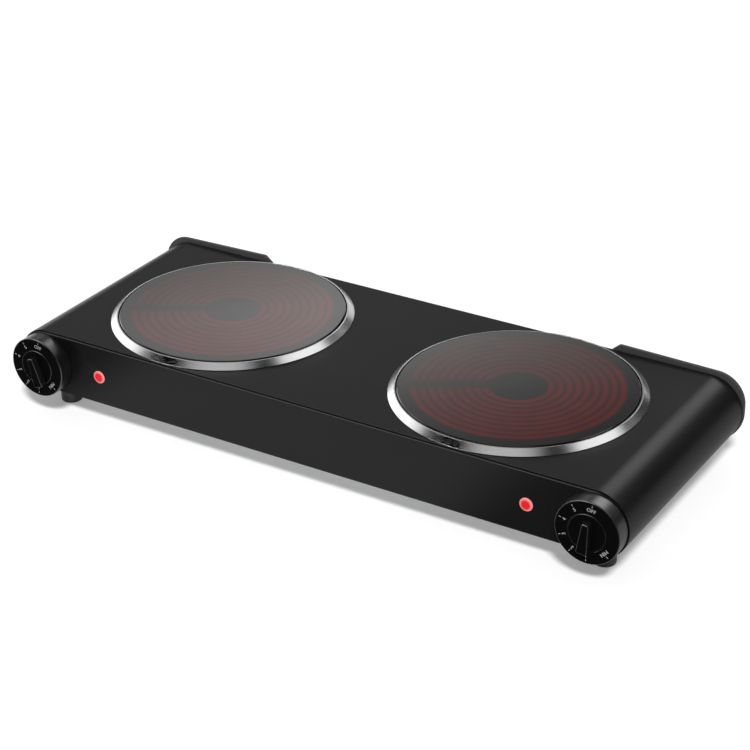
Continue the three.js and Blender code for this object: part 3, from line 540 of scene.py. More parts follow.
@dataclass(frozen=True, kw_only=True)
class TurnedMetal(Finish):
    """Metal spun or turned about a vertical axis, with fine circular tool lines."""

    centre: Triple
    pitch: float = 0.12 * MM
    tints: Span = (0.94, 1.03)
    sheens: Span = (0.8, 1.3)
    span: Span = SUM_SPAN
    depth: float = 0.004 * MM
    metallic: float = 1.0

    def patterns(self, nodes: Nodes) -> Patterns:
        """Returns the tool lines, the lines with uneven wear, and the lines."""
        place = nodes.place(self.centre)
        x, y, z = nodes.split(place)
        path = nodes.math("DIVIDE", nodes.minus(nodes.length(x, y), z), self.pitch)
        lines = nodes.noise(nodes.add("ShaderNodeCombineXYZ", {"X": path}).outputs[0], 1.0, 3.0, 0.7)
        return lines, nodes.plus(lines, nodes.noise(place, 60.0, 4.0, 0.6)), lines


@dataclass(frozen=True, kw_only=True)
class SheetMetal(Finish):
    """Rolled sheet or plated steel, with grain along X and a faint spangle."""

    grain: float = 2500.0
    grain_length: float = 25.0
    spangle: float = 180.0
    tints: Span = (0.85, 1.1)
    sheens: Span = (0.85, 1.2)
    span: Span = (0.3, 1.6)
    depth: float = 0.006 * MM
    metallic: float = 1.0

    def patterns(self, nodes: Nodes) -> Patterns:
        """Returns the spangle, the spangle with the grain, and the grain."""
        grain = nodes.noise(nodes.place(stretch=(1 / self.grain_length, 1, 1)), self.grain, 2.0, 0.6)
        feeds = {"Vector": nodes.place(), "Scale": self.spangle}
        cells = nodes.add("ShaderNodeTexVoronoi", feeds, feature="F1")
        tone = nodes.split(cells.outputs["Color"])[0]
        return tone, nodes.plus(grain, tone), grain


@dataclass(frozen=True, kw_only=True)
class Fibre(Finish):
    """Pressed, braided or unglazed material with a speckled, grainy surface."""

    scale: float
    sheens: Span = (0.92, 1.06)

    def patterns(self, nodes: Nodes) -> Patterns:
        """Returns the grit with broad clouds, the grit, and the grit."""
        place = nodes.place()
        grit = nodes.noise(place, self.scale, 5.0, 0.65)
        cloud = nodes.noise(place, self.scale / 12, 3.0, 0.5)
        return nodes.times(nodes.plus(grit, cloud), 0.5), grit, grit


@dataclass(frozen=True, kw_only=True)
class Elastomer(Finish):
    """Moulded rubber or silicone, matt with fine dust."""

    tints: Span = (1.0, 2.2)
    sheens: Span = (0.9, 1.15)
    depth: float = 0.02 * MM

    def patterns(self, nodes: Nodes) -> Patterns:
        """Returns the dust, the skin, and the skin."""
        place = nodes.place()
        skin = nodes.noise(place, 1400.0, 3.0, 0.6)
        return nodes.spread(nodes.noise(place, 90.0, 5.0, 0.7), 0.45, 0.8, 0, 0.5), skin, skin


@dataclass(frozen=True, kw_only=True)
class Ink(Finish):
    """White print on the dials, with slightly uneven cover."""

    tints: Span = (0.82, 1.08)
    sheens: Span = (0.9, 1.2)
    span: Span = WIDE_SPAN

    def patterns(self, nodes: Nodes) -> Patterns:
        """Returns the cover for all three."""
        return (nodes.noise(nodes.place(), 2200.0, 3.0, 0.6),) * 3


@dataclass(frozen=True, kw_only=True)
class CeramicGlass(Finish):
    """Smoked glass ceramic over a lit heating ribbon, whose turns show through it."""

    centre: Triple
    outer_turn: float
    inner_turn: float
    turns: int
    break_angle: float
    break_offset: float = 3.0 * MM
    break_half_width: float = 8.5 * MM
    break_blur: Span = (-6.0 * MM, 2.0 * MM)
    tail_offset: float = 8.0 * MM
    ribbon_half_width: float = 1.5 * MM
    glow: Triple = (1.0, 0.015, 0.015)
    glow_strength: float = 0.07
    # Painted shade on the glow: the side it darkens towards, in degrees, and the span and share of that
    # darkening.
    glow_shade_side: float = 135.0
    glow_shade_span: Span = (-0.035, 0.075)
    glow_shade_share: float = 0.38
    haze: float = 0.42
    refraction: float = 1.52
    tints: Span = (0.85, 1.15)
    sheens: Span = (0.8, 1.3)
    depth: float = 0.002 * MM

    def wire(self, nodes: Nodes) -> None:
        """Adds the glow, which painted shade weakens toward the back-left, and smears on a nearly flat
        surface.
        """
        place = nodes.place(self.centre, self.break_angle)
        turns, lit = self.heat(nodes, place)
        smear = nodes.noise(place, 22.0, 4.0, 0.55)
        nodes.set(
            Base_Color=nodes.blend(turns, self.tint(nodes, smear), shade(self.colour, 0.2)),
            Roughness=self.sheen(nodes, smear),
            Emission_Color=nodes.blend(lit, BLACK, shade(self.glow)),
            Emission_Strength=self.glow_strength,
            IOR=self.refraction,
        )
        nodes.bump(nodes.noise(place, 1600.0), self.depth)

    def heat(self, nodes: Nodes, place: Socket) -> tuple[Socket, Socket]:
        """Draws the ribbon's turns, their break and the tail that leads out beside it.

        Args:
            nodes: The material's nodes.
            place: Coordinates from the middle of the disc, with the break along +X.

        Returns:
            The share of the heated zone, and how strongly each spot glows, with painted shade that dims the
            glow toward the back-left.
        """
        x, y, _ = nodes.split(place)
        radius = nodes.length(x, y)
        inner, outer = self.inner_turn, self.outer_turn
        pitch = (outer - inner) / (self.turns - 1)
        steps = nodes.math("DIVIDE", nodes.minus(radius, inner), pitch)
        off_turn = nodes.size(nodes.minus(steps, nodes.math("ROUND", steps)))
        core = self.ribbon_half_width / pitch
        on_turn = nodes.spread(off_turn, core * 0.6, core * 1.9, 1, 0, soft=True)
        inside = nodes.times(
            nodes.spread(radius, inner - pitch * 0.55, inner - pitch * 0.25, 0, 1, soft=True),
            nodes.spread(radius, outer + pitch * 0.3, outer + pitch * 0.65, 1, 0, soft=True),
        )
        half = self.break_half_width
        aside = nodes.size(nodes.plus(y, self.break_offset))
        in_break = nodes.times(
            nodes.spread(x, 0, 2 * MM, 0, 1),
            nodes.spread(aside, half + self.break_blur[0], half + self.break_blur[1], 0.9, 0, soft=True),
        )
        turns = nodes.times(inside, nodes.minus(1, in_break))
        rings = nodes.times(turns, nodes.plus(nodes.times(on_turn, 1 - self.haze), self.haze))
        beside = nodes.size(nodes.plus(y, self.tail_offset))
        tail = nodes.times(
            nodes.spread(x, inner - MM, inner, 0, 1),
            nodes.spread(x, outer + pitch, outer + pitch + MM, 1, 0),
            nodes.spread(beside, 0, self.ribbon_half_width * 2.2, 0.4, 0, soft=True),
        )
        patchy = nodes.spread(nodes.noise(place, 55.0, 3.0, 0.6), *NOISE_SPAN, 0.75, 1.15)
        # Painted shade: the glow weakens toward the back-left, standing in for how much dimmer it looks
        # there.
        toward_glow_shade = nodes.split(nodes.place(self.centre, self.glow_shade_side))[0]
        glow_shade_fade = nodes.spread(toward_glow_shade, *self.glow_shade_span, 1, self.glow_shade_share, soft=True)
        return turns, nodes.times(nodes.math("MAXIMUM", rings, tail), patchy, glow_shade_fade)


@dataclass(frozen=True, kw_only=True)
class LitLens(Finish):
    """Red moulded lens in front of a neon lamp: its own colour in the middle, paler at the rim."""

    centre: Triple
    radius: float
    rim: Triple = (0.93, 0.33, 0.34)
    strength: float = 0.3
    specular: float = 0.2
    sheens: Span = (0.8, 1.5)
    span: Span = WIDE_SPAN
    depth: float = 0.02 * MM

    def wire(self, nodes: Nodes) -> None:
        """Adds the glow and the moulded flutes."""
        place = nodes.place(self.centre)
        x, _, z = nodes.split(place)
        share = nodes.spread(nodes.length(x, z), self.radius / 2, self.radius, 0.03, 1, soft=True)
        flutes = nodes.noise(place, 900.0)
        nodes.set(
            Base_Color=nodes.blend(share, shade(self.colour, 0.45), shade(self.rim, 0.6)),
            Roughness=self.sheen(nodes, flutes),
            Specular_IOR_Level=self.specular,
            Emission_Color=nodes.blend(share, shade(self.colour), shade(self.rim)),
            Emission_Strength=self.strength,
        )
        nodes.bump(flutes, self.depth)


BODY_ENAMEL = Coat("body_enamel", (0.005, 0.005, 0.0051), 0.35, specular=0.23, depth=0.012 * MM)
REAR_ENAMEL = Coat("rear_enamel", (0.05, 0.05, 0.0505), 0.5, specular=0.15, depth=0.012 * MM)
PANEL_ENAMEL = Coat("panel_enamel", (0.004, 0.004, 0.0042), 0.24, specular=0.19, depth=0.006 * MM)
GLOSS_BLACK = Coat(
    "gloss_black", (0.006, 0.006, 0.0062), 0.3, specular=1.0, peel_scale=1500.0, depth=0.004 * MM
)
# Darker, nearly unreflective copy of the gloss black for the dials' front faces: painted shade.
SHADED_FRONT_BLACK = Coat("face_black", (0.002, 0.002, 0.0021), 0.45, specular=0.03, peel_scale=1800.0)
MOULDED_BLACK = Coat("moulded_black", (0.014, 0.014, 0.0145), 0.5, peel_scale=1800.0, depth=0.02 * MM)
FOOT_RUBBER = Elastomer("foot_rubber", (0.012, 0.012, 0.012), 0.38)
SEAL_SILICONE = Elastomer("seal_silicone", (0.006, 0.006, 0.006), 0.7, specular=0.2)
SCALE_INK = Ink("scale_ink", (0.46, 0.46, 0.455), 0.5)
ZINC_SHEET = SheetMetal("zinc_sheet", (0.55, 0.56, 0.57), 0.38)
PLATED_SCREW = SheetMetal("plated_screw", (0.5, 0.5, 0.51), 0.3, spangle=900.0)
BRASS = SheetMetal("brass", (0.72, 0.52, 0.22), 0.28, spangle=1200.0)
HEATING_ALLOY = SheetMetal("heating_alloy", (0.34, 0.09, 0.05), 0.55, spangle=600.0, metallic=0.6)
INSULATION = Fibre("insulation", (0.6, 0.56, 0.48), 0.9, depth=0.15 * MM, scale=420.0, tints=(0.8, 1.2))
CERAMIC = Fibre("ceramic", (0.72, 0.69, 0.6), 0.35, depth=0.02 * MM, scale=260.0, tints=(0.92, 1.08))
LEAD_SLEEVE = Fibre("lead_sleeve", (0.66, 0.63, 0.55), 0.9, depth=0.1 * MM, scale=1500.0, tints=(0.85, 1.15))
TRIM_STEEL = ((0.62, 0.62, 0.625), 0.2)  # colour and roughness of a finish that has its own centre
SMOKED_GLASS = ((0.004, 0.0042, 0.0042), 0.06)
LAMP_RED = ((1.0, 0.004, 0.005), 0.2)


# ---- places shared by the sub-assemblies
@dataclass(frozen=True)
class Layout:
    """Where the sub-assemblies lie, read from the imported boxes."""

    cover: Box
    panel: Box
    rear: Box
    dial_z: float

    @classmethod
    def read(cls) -> "Layout":
        """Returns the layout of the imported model."""
        dial = Box.of("dial_bezel_right").centre
        return cls(Box.of("top_cover"), Box.of("front_panel"), Box.of("rear_panel"), dial.z)

    @property
    def cover_top(self) -> float:
        """Height of the cover's upper face."""
        return self.cover.high.z

    @property
    def end_radius(self) -> float:
        """Outside radius of a rolled end."""
        return self.cover_top - self.dial_z

    @property
    def end_x(self) -> float:
        """Where the flat top meets the rolled end."""
        return self.cover.high.x - self.end_radius

    def burner(self, side: str) -> Vector:
        """Middle of a burner at the height of the cover's upper face."""
        middle = Box.of(f"glass_{side}").centre
        return Vector((middle.x, middle.y, self.cover_top))

    def on_panel(self, node: str) -> Vector:
        """Where the axis of a dial or lamp meets the front panel's face."""
        middle = Box.of(node).centre
        return Vector((middle.x, self.panel.low.y, middle.z))

    def tuck(self, radius: float) -> float:
        """Degrees by which a rolled end of that radius goes on below its middle, down to the base."""
        return math.degrees(math.asin((self.dial_z - self.cover.low.z) / radius))

    def section(self, inset: float, steps: int) -> list[Vector]:
        """Returns the body's outline in X and Z, that far inside the cover's outside."""
        radius = self.end_radius - inset
        return mirrored(arc(Vector((self.end_x, self.dial_z)), radius, -self.tuck(radius), 90, steps))


# ---- body shell
@dataclass
class BodyShell:
    """Bent cover sheet between a pressed front tray and a rear closure with raised shoulders."""

    layout: Layout
    cover_steel: float = 0.9 * MM
    cover_lip: float = 5.0 * MM
    cover_edge: float = 0.2 * MM
    burner_hole: float = 86.9 * MM
    burner_facets: int = 128
    panel_steel: float = 1.2 * MM
    panel_gap: float = 0.3 * MM
    panel_round: float = 1.0 * MM
    shaft_hole: float = 5.3 * MM
    lamp_hole: float = 4.2 * MM
    hole_facets: int = 32
    shoulder_fall: float = 1.7 * MM
    shoulder_corner: float = 23.4 * MM
    shoulder_start: float = 28.1 * MM
    shoulder_ramp: float = 7.3 * MM
    shoulder_run: float = 9.0 * MM
    shoulder_overhang: float = 0.9 * MM
    shoulder_thickness: float = 2.6 * MM
    shoulder_round: float = 0.6 * MM
    crest_radius: float = 3.0 * MM
    foot_radius: float = 2.0 * MM
    wall_gap: float = 0.05 * MM
    vent_count: int = 7
    vent_width: float = 3.2 * MM
    vent_height: float = 20.0 * MM
    vent_pitch: float = 9.0 * MM
    gland_hole: float = 7.4 * MM
    end_steps: int = 56

    def build(self) -> None:
        """Makes the three outer pieces."""
        self.cover()
        self.front_tray()
        self.rear_closure()

    def cover(self) -> None:
        """Flat top with two burner holes, spun into the rolled ends and turned in under the base."""
        layout = self.layout
        low, high = layout.cover.low, layout.cover.high
        end, top = layout.end_x, layout.cover_top
        flange = layout.panel.high.y + self.panel_gap
        back_flange = layout.rear.low.y - self.panel_gap
        steps_y = [low.y, flange, back_flange, high.y]
        within = (flange - SAME_SPOT * 10, back_flange + SAME_SPOT * 10)
        bm = bmesh.new()
        rim = [Vector((-end, y)) for y in reversed(steps_y)] + [Vector((end, y)) for y in steps_y]
        rim_edges = level(bm, rim, top)
        burners = (circle(layout.burner(side).xy, self.burner_hole, self.burner_facets) for side in SIDES)
        fill(bm, rim_edges, *[level(bm, burner, top) for burner in burners])
        tuck = math.radians(90 + layout.tuck(layout.end_radius))
        for sign in (-1, 1):
            seam = sign * end
            start = [edge for edge in rim_edges if all(abs(v.co.x - seam) < SAME_SPOT for v in edge.verts)]
            geom = [*start, *{vert for edge in start for vert in edge.verts}]
            whole = {"cent": (seam, 0, layout.dial_z), "axis": (0, 1, 0), "steps": self.end_steps}
            spun = bmesh.ops.spin(bm, geom=geom, angle=sign * tuck, **whole)
            ends = only(spun["geom_last"], bmesh.types.BMEdge)
            inner = [edge for edge in ends if all(within[0] < v.co.y < within[1] for v in edge.verts)]
            lip = only(bmesh.ops.extrude_edge_only(bm, edges=inner)["geom"], bmesh.types.BMVert)
            bmesh.ops.translate(bm, vec=(-sign * self.cover_lip, 0, 0), verts=lip)
        bmesh.ops.remove_doubles(bm, verts=bm.verts, dist=SAME_SPOT)
        face_outwards(bm, Vector((0, 0, 1)))
        sheet = Piece("cover_sheet", "body_enamel", ("top_cover",), flat_faces=False)
        thicken(sheet.place(bm, BODY_ENAMEL.material()), self.cover_steel, self.cover_edge)

    def front_tray(self) -> None:
        """Pressed tray with a rounded rim and holes for the shafts and lamps."""
        layout = self.layout
        face, back = layout.panel.low.y, layout.panel.high.y
        inset = self.cover_steel + self.panel_gap
        bm = bmesh.new()
        bands = [upright(bm, layout.section(inset, self.end_steps), back)]
        for step_in, step_back in rounding(self.panel_round, 6):
            bands.append(upright(bm, layout.section(inset + step_in, self.end_steps), face + step_back))
        bridge(bm, *bands)
        holes = []
        for side in SIDES:
            for node, radius in (("dial_bezel", self.shaft_hole), ("lamp_lens", self.lamp_hole)):
                middle = layout.on_panel(f"{node}_{side}").xz
                holes.append(upright(bm, circle(middle, radius, self.hole_facets), face))
        fill(bm, bands[-1], *holes)
        face_outwards(bm, Vector((0, -1, 0)))
        tray = Piece("front_tray", "panel_enamel", ("front_panel",), flat_faces=False)
        thicken(tray.place(bm, PANEL_ENAMEL.material()), self.panel_steel)

    def shoulders(self) -> list[Vector]:
        """Returns the rear closure's outline, anticlockwise, with its raised shoulders."""
        layout = self.layout
        radius = layout.end_radius + self.shoulder_overhang
        corner_x = layout.end_x + radius - self.shoulder_corner
        crest = layout.rear.high.z
        corner_z = crest - self.shoulder_fall - self.shoulder_corner
        foot = layout.burner("right").x + self.shoulder_start
        ramp = foot + self.shoulder_ramp
        middle_top = layout.cover_top - self.cover_steel - self.panel_gap
        step = [
            (ramp + self.shoulder_run, crest - 0.11 * self.shoulder_fall), (ramp, crest, self.crest_radius),
            (foot, middle_top, self.foot_radius), (foot - self.shoulder_run, middle_top),
        ]
        return mirrored(
            [
                *arc(Vector((layout.end_x, layout.dial_z)), radius, -layout.tuck(radius), -1, 20),
                *arc(Vector((corner_x, corner_z)), self.shoulder_corner, 0, 90, 40),
                *rounded(step, closed=False)[1:],
            ]
        )

    def rear_closure(self) -> None:
        """Plate behind the cover, with rounded rims, two groups of vents and the cord's hole."""
        layout = self.layout
        back = layout.rear.high.y
        front = back - self.shoulder_thickness
        outline = self.shoulders()
        bm = bmesh.new()
        rims = rounding(self.shoulder_round, 4)
        levels = [(step_in, front + step_y) for step_in, step_y in reversed(rims)]
        levels += [(step_in, back - step_y) for step_in, step_y in rims]
        bands = [upright(bm, offset(outline, step_in), y) for step_in, y in levels]
        bridge(bm, *bands)
        holes = []
        for hole in self.rear_holes():
            holes.append([upright(bm, hole, y) for y in (front, back)])
            bridge(bm, *holes[-1])
        fill(bm, bands[0], *(pair[0] for pair in holes))
        fill(bm, bands[-1], *(pair[1] for pair in holes))
        close(bm)
        inset = self.cover_steel + self.panel_gap
        walls = []
        for wall_in in (inset, inset + self.panel_steel):
            wall = layout.section(wall_in, self.end_steps)
            walls.append([upright(bm, wall, y) for y in (layout.rear.low.y, front - self.wall_gap)])
        (outer_front, outer_back), (inner_front, inner_back) = walls
        bridge(bm, outer_front, outer_back, inner_back, inner_front, outer_front)
        close(bm)
        closure = Piece("rear_closure", "body_enamel", ("rear_panel",), sharp_degrees=40, edge=SLIGHT)
        closure.place(bm, REAR_ENAMEL.material())

    def rear_holes(self) -> list[list[Vector]]:
        """Returns the outlines of the vents and of the cord's hole."""
        layout = self.layout
        outlines = [circle(Vector((0, layout.dial_z)), self.gland_hole, 40)]
        half, tall = self.vent_width / 2, self.vent_height / 2
        for side in SIDES:
            for index in range(self.vent_count):
                x = layout.burner(side).x + (index - (self.vent_count - 1) / 2) * self.vent_pitch
                corners = [(x - half, -tall), (x + half, -tall), (x + half, tall), (x - half, tall)]
                outlines.append(rounded([(a, layout.dial_z + up, half * 0.95) for a, up in corners]))
        return outlines


# ---- burners
@dataclass
class Burner:
    """Trim ring, glass disc and seal of one burner."""

    side: str
    centre: Vector
    glass_radius: float = 90.0 * MM
    glass_thickness: float = 3.8 * MM
    glass_edge: float = 0.6 * MM
    glass_round: float = 0.15 * MM
    wall_inner: float = 91.0 * MM
    ring_steel: float = 0.8 * MM
    ring_slope: float = 5.1 * MM
    ring_height: float = 4.5 * MM
    ring_gap: float = 0.3 * MM
    ring_ledge: float = 5.5 * MM
    ring_skirt: float = 2.0 * MM
    ledge_top: float = 0.95 * MM
    lip_width: float = 1.0 * MM
    lip_outer_round: float = 0.22 * MM
    lip_inner_round: float = 0.18 * MM
    foot_round: float = 0.12 * MM
    seal_inner: float = 90.3 * MM
    seal_outer: float = 90.7 * MM
    seal_low: float = 1.25 * MM
    seal_high: float = 3.85 * MM
    ribbon_outer: float = 77.6 * MM
    ribbon_inner: float = 24.5 * MM
    ribbon_turns: int = 9
    break_angle: float = 210.0
    facets: int = 192

    def build(self) -> None:
        """Makes the burner's visible pieces."""
        self.trim_ring()
        self.glass()
        self.seal()

    def place(self, name: str, slot: str, node: str, outline: Points, finish: Finish, **looks: float) -> None:
        """Turns an outline about the burner's axis into a piece, named and replacing a node of its side."""
        bm = turned(outline, self.centre, Facing.UP, self.facets)
        Piece(f"{name}_{self.side}", slot, (f"{node}_{self.side}",), **looks).place(bm, finish.material())

    def trim_ring(self) -> None:
        """Spun steel ring: sloping band, narrow lip, wall, ledge and skirt."""
        wall_outer = self.wall_inner + self.ring_steel
        outer = wall_outer + self.ring_slope
        gap, top = self.ring_gap, self.ring_height
        skirt = self.wall_inner - self.ring_ledge
        slope = math.atan2(top - gap, self.ring_slope)
        corners = [
            (outer, gap, self.foot_round), (self.wall_inner + self.lip_width, top, self.lip_outer_round),
            (self.wall_inner, top, self.lip_inner_round), (self.wall_inner, self.ledge_top, SMALL),
            (skirt, self.ledge_top, SMALL), (skirt, -self.ring_skirt, KEEN),
            (skirt + self.ring_steel, -self.ring_skirt, KEEN), (skirt + self.ring_steel, gap, KEEN),
            (wall_outer, gap, KEEN), (wall_outer, top - self.ring_steel / math.cos(slope), KEEN),
            (outer - self.ring_steel / math.sin(slope), gap, KEEN),
        ]
        steel = TurnedMetal(f"trim_steel_{self.side}", *TRIM_STEEL, centre=tuple(self.centre))
        self.place("trim_band", "trim_steel", "trim_ring", rounded(corners, steps=4), steel, sharp_degrees=50)

    def glass(self) -> None:
        """Ceramic glass disc with a ground edge."""
        low, rim = self.seal_low, self.glass_radius
        top = low + self.glass_thickness
        corners = [
            (0, low), (rim, low, SMALL), (rim, top - self.glass_edge, self.glass_round),
            (rim - self.glass_edge, top, self.glass_round), (0, top),
        ]
        glass = CeramicGlass(
            f"ceramic_glass_{self.side}", *SMOKED_GLASS, centre=tuple(self.centre),
            outer_turn=self.ribbon_outer, inner_turn=self.ribbon_inner, turns=self.ribbon_turns,
            break_angle=self.break_angle,
        )
        self.place("glass_disc", "ceramic_glass", "glass", rounded(corners, closed=False, steps=3), glass)

    def seal(self) -> None:
        """Silicone cord between the glass and the ring's wall."""
        corners = [
            (self.seal_inner, self.seal_low, SLIGHT), (self.seal_outer, self.seal_low, SLIGHT),
            (self.seal_outer, self.seal_high, SMALL), (self.seal_inner, self.seal_high, SMALL),
        ]
        self.place("seal_cord", "seal_silicone", "glass_seal", rounded(corners, steps=3), SEAL_SILICONE)


# ---- controls
class Mark(Enum):
    """Printed marks round a dial, by their degrees clockwise from the top."""

    OFF = 9.0
    MIN = 132.5
    ONE = 180.0
    TWO = 215.5
    THREE = 251.0
    FOUR = 288.5
    FIVE = 327.5

    @property
    def text(self) -> str:
        """What is printed."""
        return {"ONE": "1", "TWO": "2", "THREE": "3", "FOUR": "4", "FIVE": "5"}.get(self.name, self.name)


@dataclass
class Control:
    """Dial bezel with its printed scale, and the knob in its recess."""

    side: str
    origin: Vector
    bezel_radius: float = 24.8 * MM
    bezel_height: float = 12.5 * MM
    bezel_wall: float = 2.0 * MM
    bezel_edge: float = 0.8 * MM
    recess_edge: float = 0.35 * MM
    bezel_floor: float = 5.7 * MM
    boss_bore: float = 5.2 * MM
    boss_wall: float = 3.3 * MM
    gap: float = 0.3 * MM
    knob_radius: float = 14.4 * MM
    knob_face: float = 12.5 * MM
    knob_back: float = 8.0 * MM
    hub_back: float = 5.0 * MM
    hub_radius: float = 4.9 * MM
    bore_radius: float = 3.3 * MM
    bore_end: float = 11.3 * MM
    grip_height: float = 5.5 * MM
    grip_tail: float = 9.4 * MM
    grip_point: float = 15.1 * MM
    grip_tail_width: float = 5.2 * MM
    grip_point_width: float = 8.6 * MM
    grip_tail_round: float = 1.2 * MM
    grip_point_round: float = 1.4 * MM
    grip_edge: float = 0.9 * MM
    grip_sunk: float = 0.4 * MM
    grip_inset: float = 0.6 * MM
    grip_step: float = 0.05 * MM
    grip_rest: dict[str, float] = field(default_factory=lambda: {"left": -16.0, "right": 6.0})
    tick_outer: float = 22.6 * MM
    tick_inner: float = 20.9 * MM
    tick_width: float = 0.35 * MM
    word_radius: float = 18.5 * MM
    digit_radius: float = 18.4 * MM
    letter_height: float = 2.8 * MM
    letter_thinning: float = 0.03 * MM
    height_in_font: float = 0.7
    ink: float = 0.08 * MM
    facets: int = 128

    def build(self) -> None:
        """Makes the dial's pieces."""
        self.bezel()
        self.scale()
        self.knob()

    def place(self, piece: Piece, bm: Mesh) -> None:
        """Places a glossy moulding whose front faces take a darker, matt black: painted shade where gloss
        would show the bright floor.
        """
        shade_fronts(bm)
        piece.place(bm, GLOSS_BLACK.material(), SHADED_FRONT_BLACK.material())

    def bezel(self) -> None:
        """Round housing with a recess for the knob."""
        inner = self.knob_radius + self.gap
        boss_outer = self.boss_bore + self.boss_wall
        floor = self.bezel_floor + self.bezel_wall
        top, outer, wall = self.bezel_height, self.bezel_radius, self.bezel_wall
        corners = [
            (outer - wall, self.gap), (outer, self.gap, SLIGHT), (outer, top, self.bezel_edge),
            (inner, top, self.recess_edge), (inner, floor, SMALL), (self.boss_bore, floor, SLIGHT),
            (self.boss_bore, self.gap), (boss_outer, self.gap), (boss_outer, self.bezel_floor),
            (inner + wall, self.bezel_floor), (inner + wall, top - wall), (outer - wall, top - wall),
        ]
        bm = turned(rounded(corners, steps=6), self.origin, Facing.FRONT, self.facets)
        replaced = (f"dial_bezel_{self.side}",)
        self.place(Piece(f"dial_housing_{self.side}", "gloss_black", replaced, sharp_degrees=35), bm)

    def scale(self) -> None:
        """Printed ticks and characters, read from the middle outwards."""
        bm = bmesh.new()
        face = Matrix.Translation(self.origin + Vector((0, -self.bezel_height, 0))) @ Facing.FRONT.value
        for mark in Mark:
            place = face @ Matrix.Rotation(-math.radians(mark.value), 4, "Z")
            self.tick(bm, place)
            self.lettering(bm, mark.text, place)
        Piece(f"dial_scale_{self.side}", "scale_ink").place(bm, SCALE_INK.material())

    def tick(self, bm: Mesh, place: Matrix) -> None:
        """Adds one radial tick with rounded ends."""
        half = self.tick_width / 2
        low, high, tip = self.tick_inner, self.tick_outer, half * 0.9
        corners = [(-half, low, tip), (half, low, tip), (half, high, tip), (-half, high, tip)]
        outline = rounded(corners, steps=3)
        faces = fill(bm, level(bm, outline, 0))
        foot = [vert for face in faces for vert in face.verts]
        made = bmesh.ops.extrude_face_region(bm, geom=faces, use_keep_orig=True)["geom"]
        raised = only(made, bmesh.types.BMVert)
        bmesh.ops.translate(bm, vec=(0, 0, self.ink), verts=raised)
        verts = {*foot, *raised}
        bmesh.ops.transform(bm, matrix=place, verts=list(verts))
        bmesh.ops.recalc_face_normals(bm, faces=list({face for vert in verts for face in vert.link_faces}))

    def lettering(self, bm: Mesh, text: str, place: Matrix) -> None:
        """Adds characters with their tops outwards, on a face turned so that they lie straight up."""
        curve = bpy.data.curves.new("characters", "FONT")
        curve.body = text
        curve.size = self.letter_height / self.height_in_font
        curve.extrude = self.ink / 2
        curve.offset = -self.letter_thinning
        curve.resolution_u = 4
        letters = bpy.data.objects.new("characters", curve)
        mesh = bpy.data.meshes.new_from_object(letters)
        across = [vert.co.x for vert in mesh.vertices]
        up = [vert.co.y for vert in mesh.vertices]
        middle = Vector(((min(across) + max(across)) / 2, (min(up) + max(up)) / 2, -self.ink / 2))
        radius = self.digit_radius if text.isdigit() else self.word_radius
        mesh.transform(place @ Matrix.Translation(Vector((0, radius, 0)) - middle))
        bm.from_mesh(mesh)
        bpy.data.objects.remove(letters)
        bpy.data.curves.remove(curve)
        bpy.data.meshes.remove(mesh)

    def knob(self) -> None:
        """Disc on a hub, with a tapered grip."""
        corners = [
            (0, self.bore_end), (self.bore_radius, self.bore_end), (self.bore_radius, self.hub_back),
            (self.hub_radius, self.hub_back, SLIGHT), (self.hub_radius, self.knob_back),
            (self.knob_radius, self.knob_back, SMALL), (self.knob_radius, self.knob_face, SOFT),
            (0, self.knob_face),
        ]
        bm = turned(rounded(corners, closed=False), self.origin, Facing.FRONT, self.facets)
        self.grip(bm)
        name = f"knob_{self.side}"
        self.place(Piece(f"knob_cap_{self.side}", "gloss_black", (name,), body=name, sharp_degrees=35), bm)

    def grip(self, bm: Mesh) -> None:
        """Adds the grip, rounded round its front face, with its nose clear of the bezel."""
        point, tail = self.grip_point_width / 2, self.grip_tail_width / 2
        corners = [
            (-point, -self.grip_point, self.grip_point_round),
            (point, -self.grip_point, self.grip_point_round), (tail, self.grip_tail, self.grip_tail_round),
            (-tail, self.grip_tail, self.grip_tail_round),
        ]
        turn = Matrix.Rotation(-math.radians(self.grip_rest[self.side]), 2)
        outline = [turn @ point for point in rounded(corners, steps=6)]
        disc = self.origin.y - self.knob_face
        reach = self.knob_radius - self.grip_inset
        held = [point * min(1, reach / point.length) for point in outline]
        neck = disc - self.gap
        rows = [(held, disc + self.grip_sunk), (held, neck), (outline, neck - self.grip_step)]
        for step_in, step_back in rounding(self.grip_edge, 5):
            rows.append((offset(outline, step_in), disc - self.grip_height + step_back))
        centre = self.origin.xz
        bands = [upright(bm, [centre + point for point in row], y) for row, y in rows]
        bridge(bm, *bands)
        fill(bm, bands[0])
        fill(bm, bands[-1])
        close(bm)


# ---- pilot lamps, feet and rear fittings
@dataclass
class PilotLamp:
    """Red lens with a paler rim, proud of the panel."""

    side: str
    origin: Vector
    radius: float = 5.2 * MM
    flange: float = 0.5 * MM
    dome: float = 0.8 * MM
    dome_steps: int = 10
    gap: float = 0.3 * MM
    shank_radius: float = 3.9 * MM
    shank_back: float = -7.2 * MM
    facets: int = 64

    def build(self) -> None:
        """Makes the lens."""
        brow = self.gap + self.flange
        turns = (math.radians(90 * step / self.dome_steps) for step in range(self.dome_steps))
        profile = [
            Vector((0, self.shank_back)),
            Vector((self.shank_radius, self.shank_back)),
            Vector((self.shank_radius, self.gap)),
            Vector((self.radius, self.gap)),
            *(Vector((self.radius * math.cos(turn), brow + self.dome * math.sin(turn))) for turn in turns),
            Vector((0, brow + self.dome)),
        ]
        bm = turned(profile, self.origin, Facing.FRONT, self.facets)
        lens = LitLens(f"lamp_red_{self.side}", *LAMP_RED, centre=tuple(self.origin), radius=self.radius)
        cap = Piece(f"lamp_cap_{self.side}", "lamp_red", (f"lamp_lens_{self.side}",), sharp_degrees=50)
        cap.place(bm, lens.material())


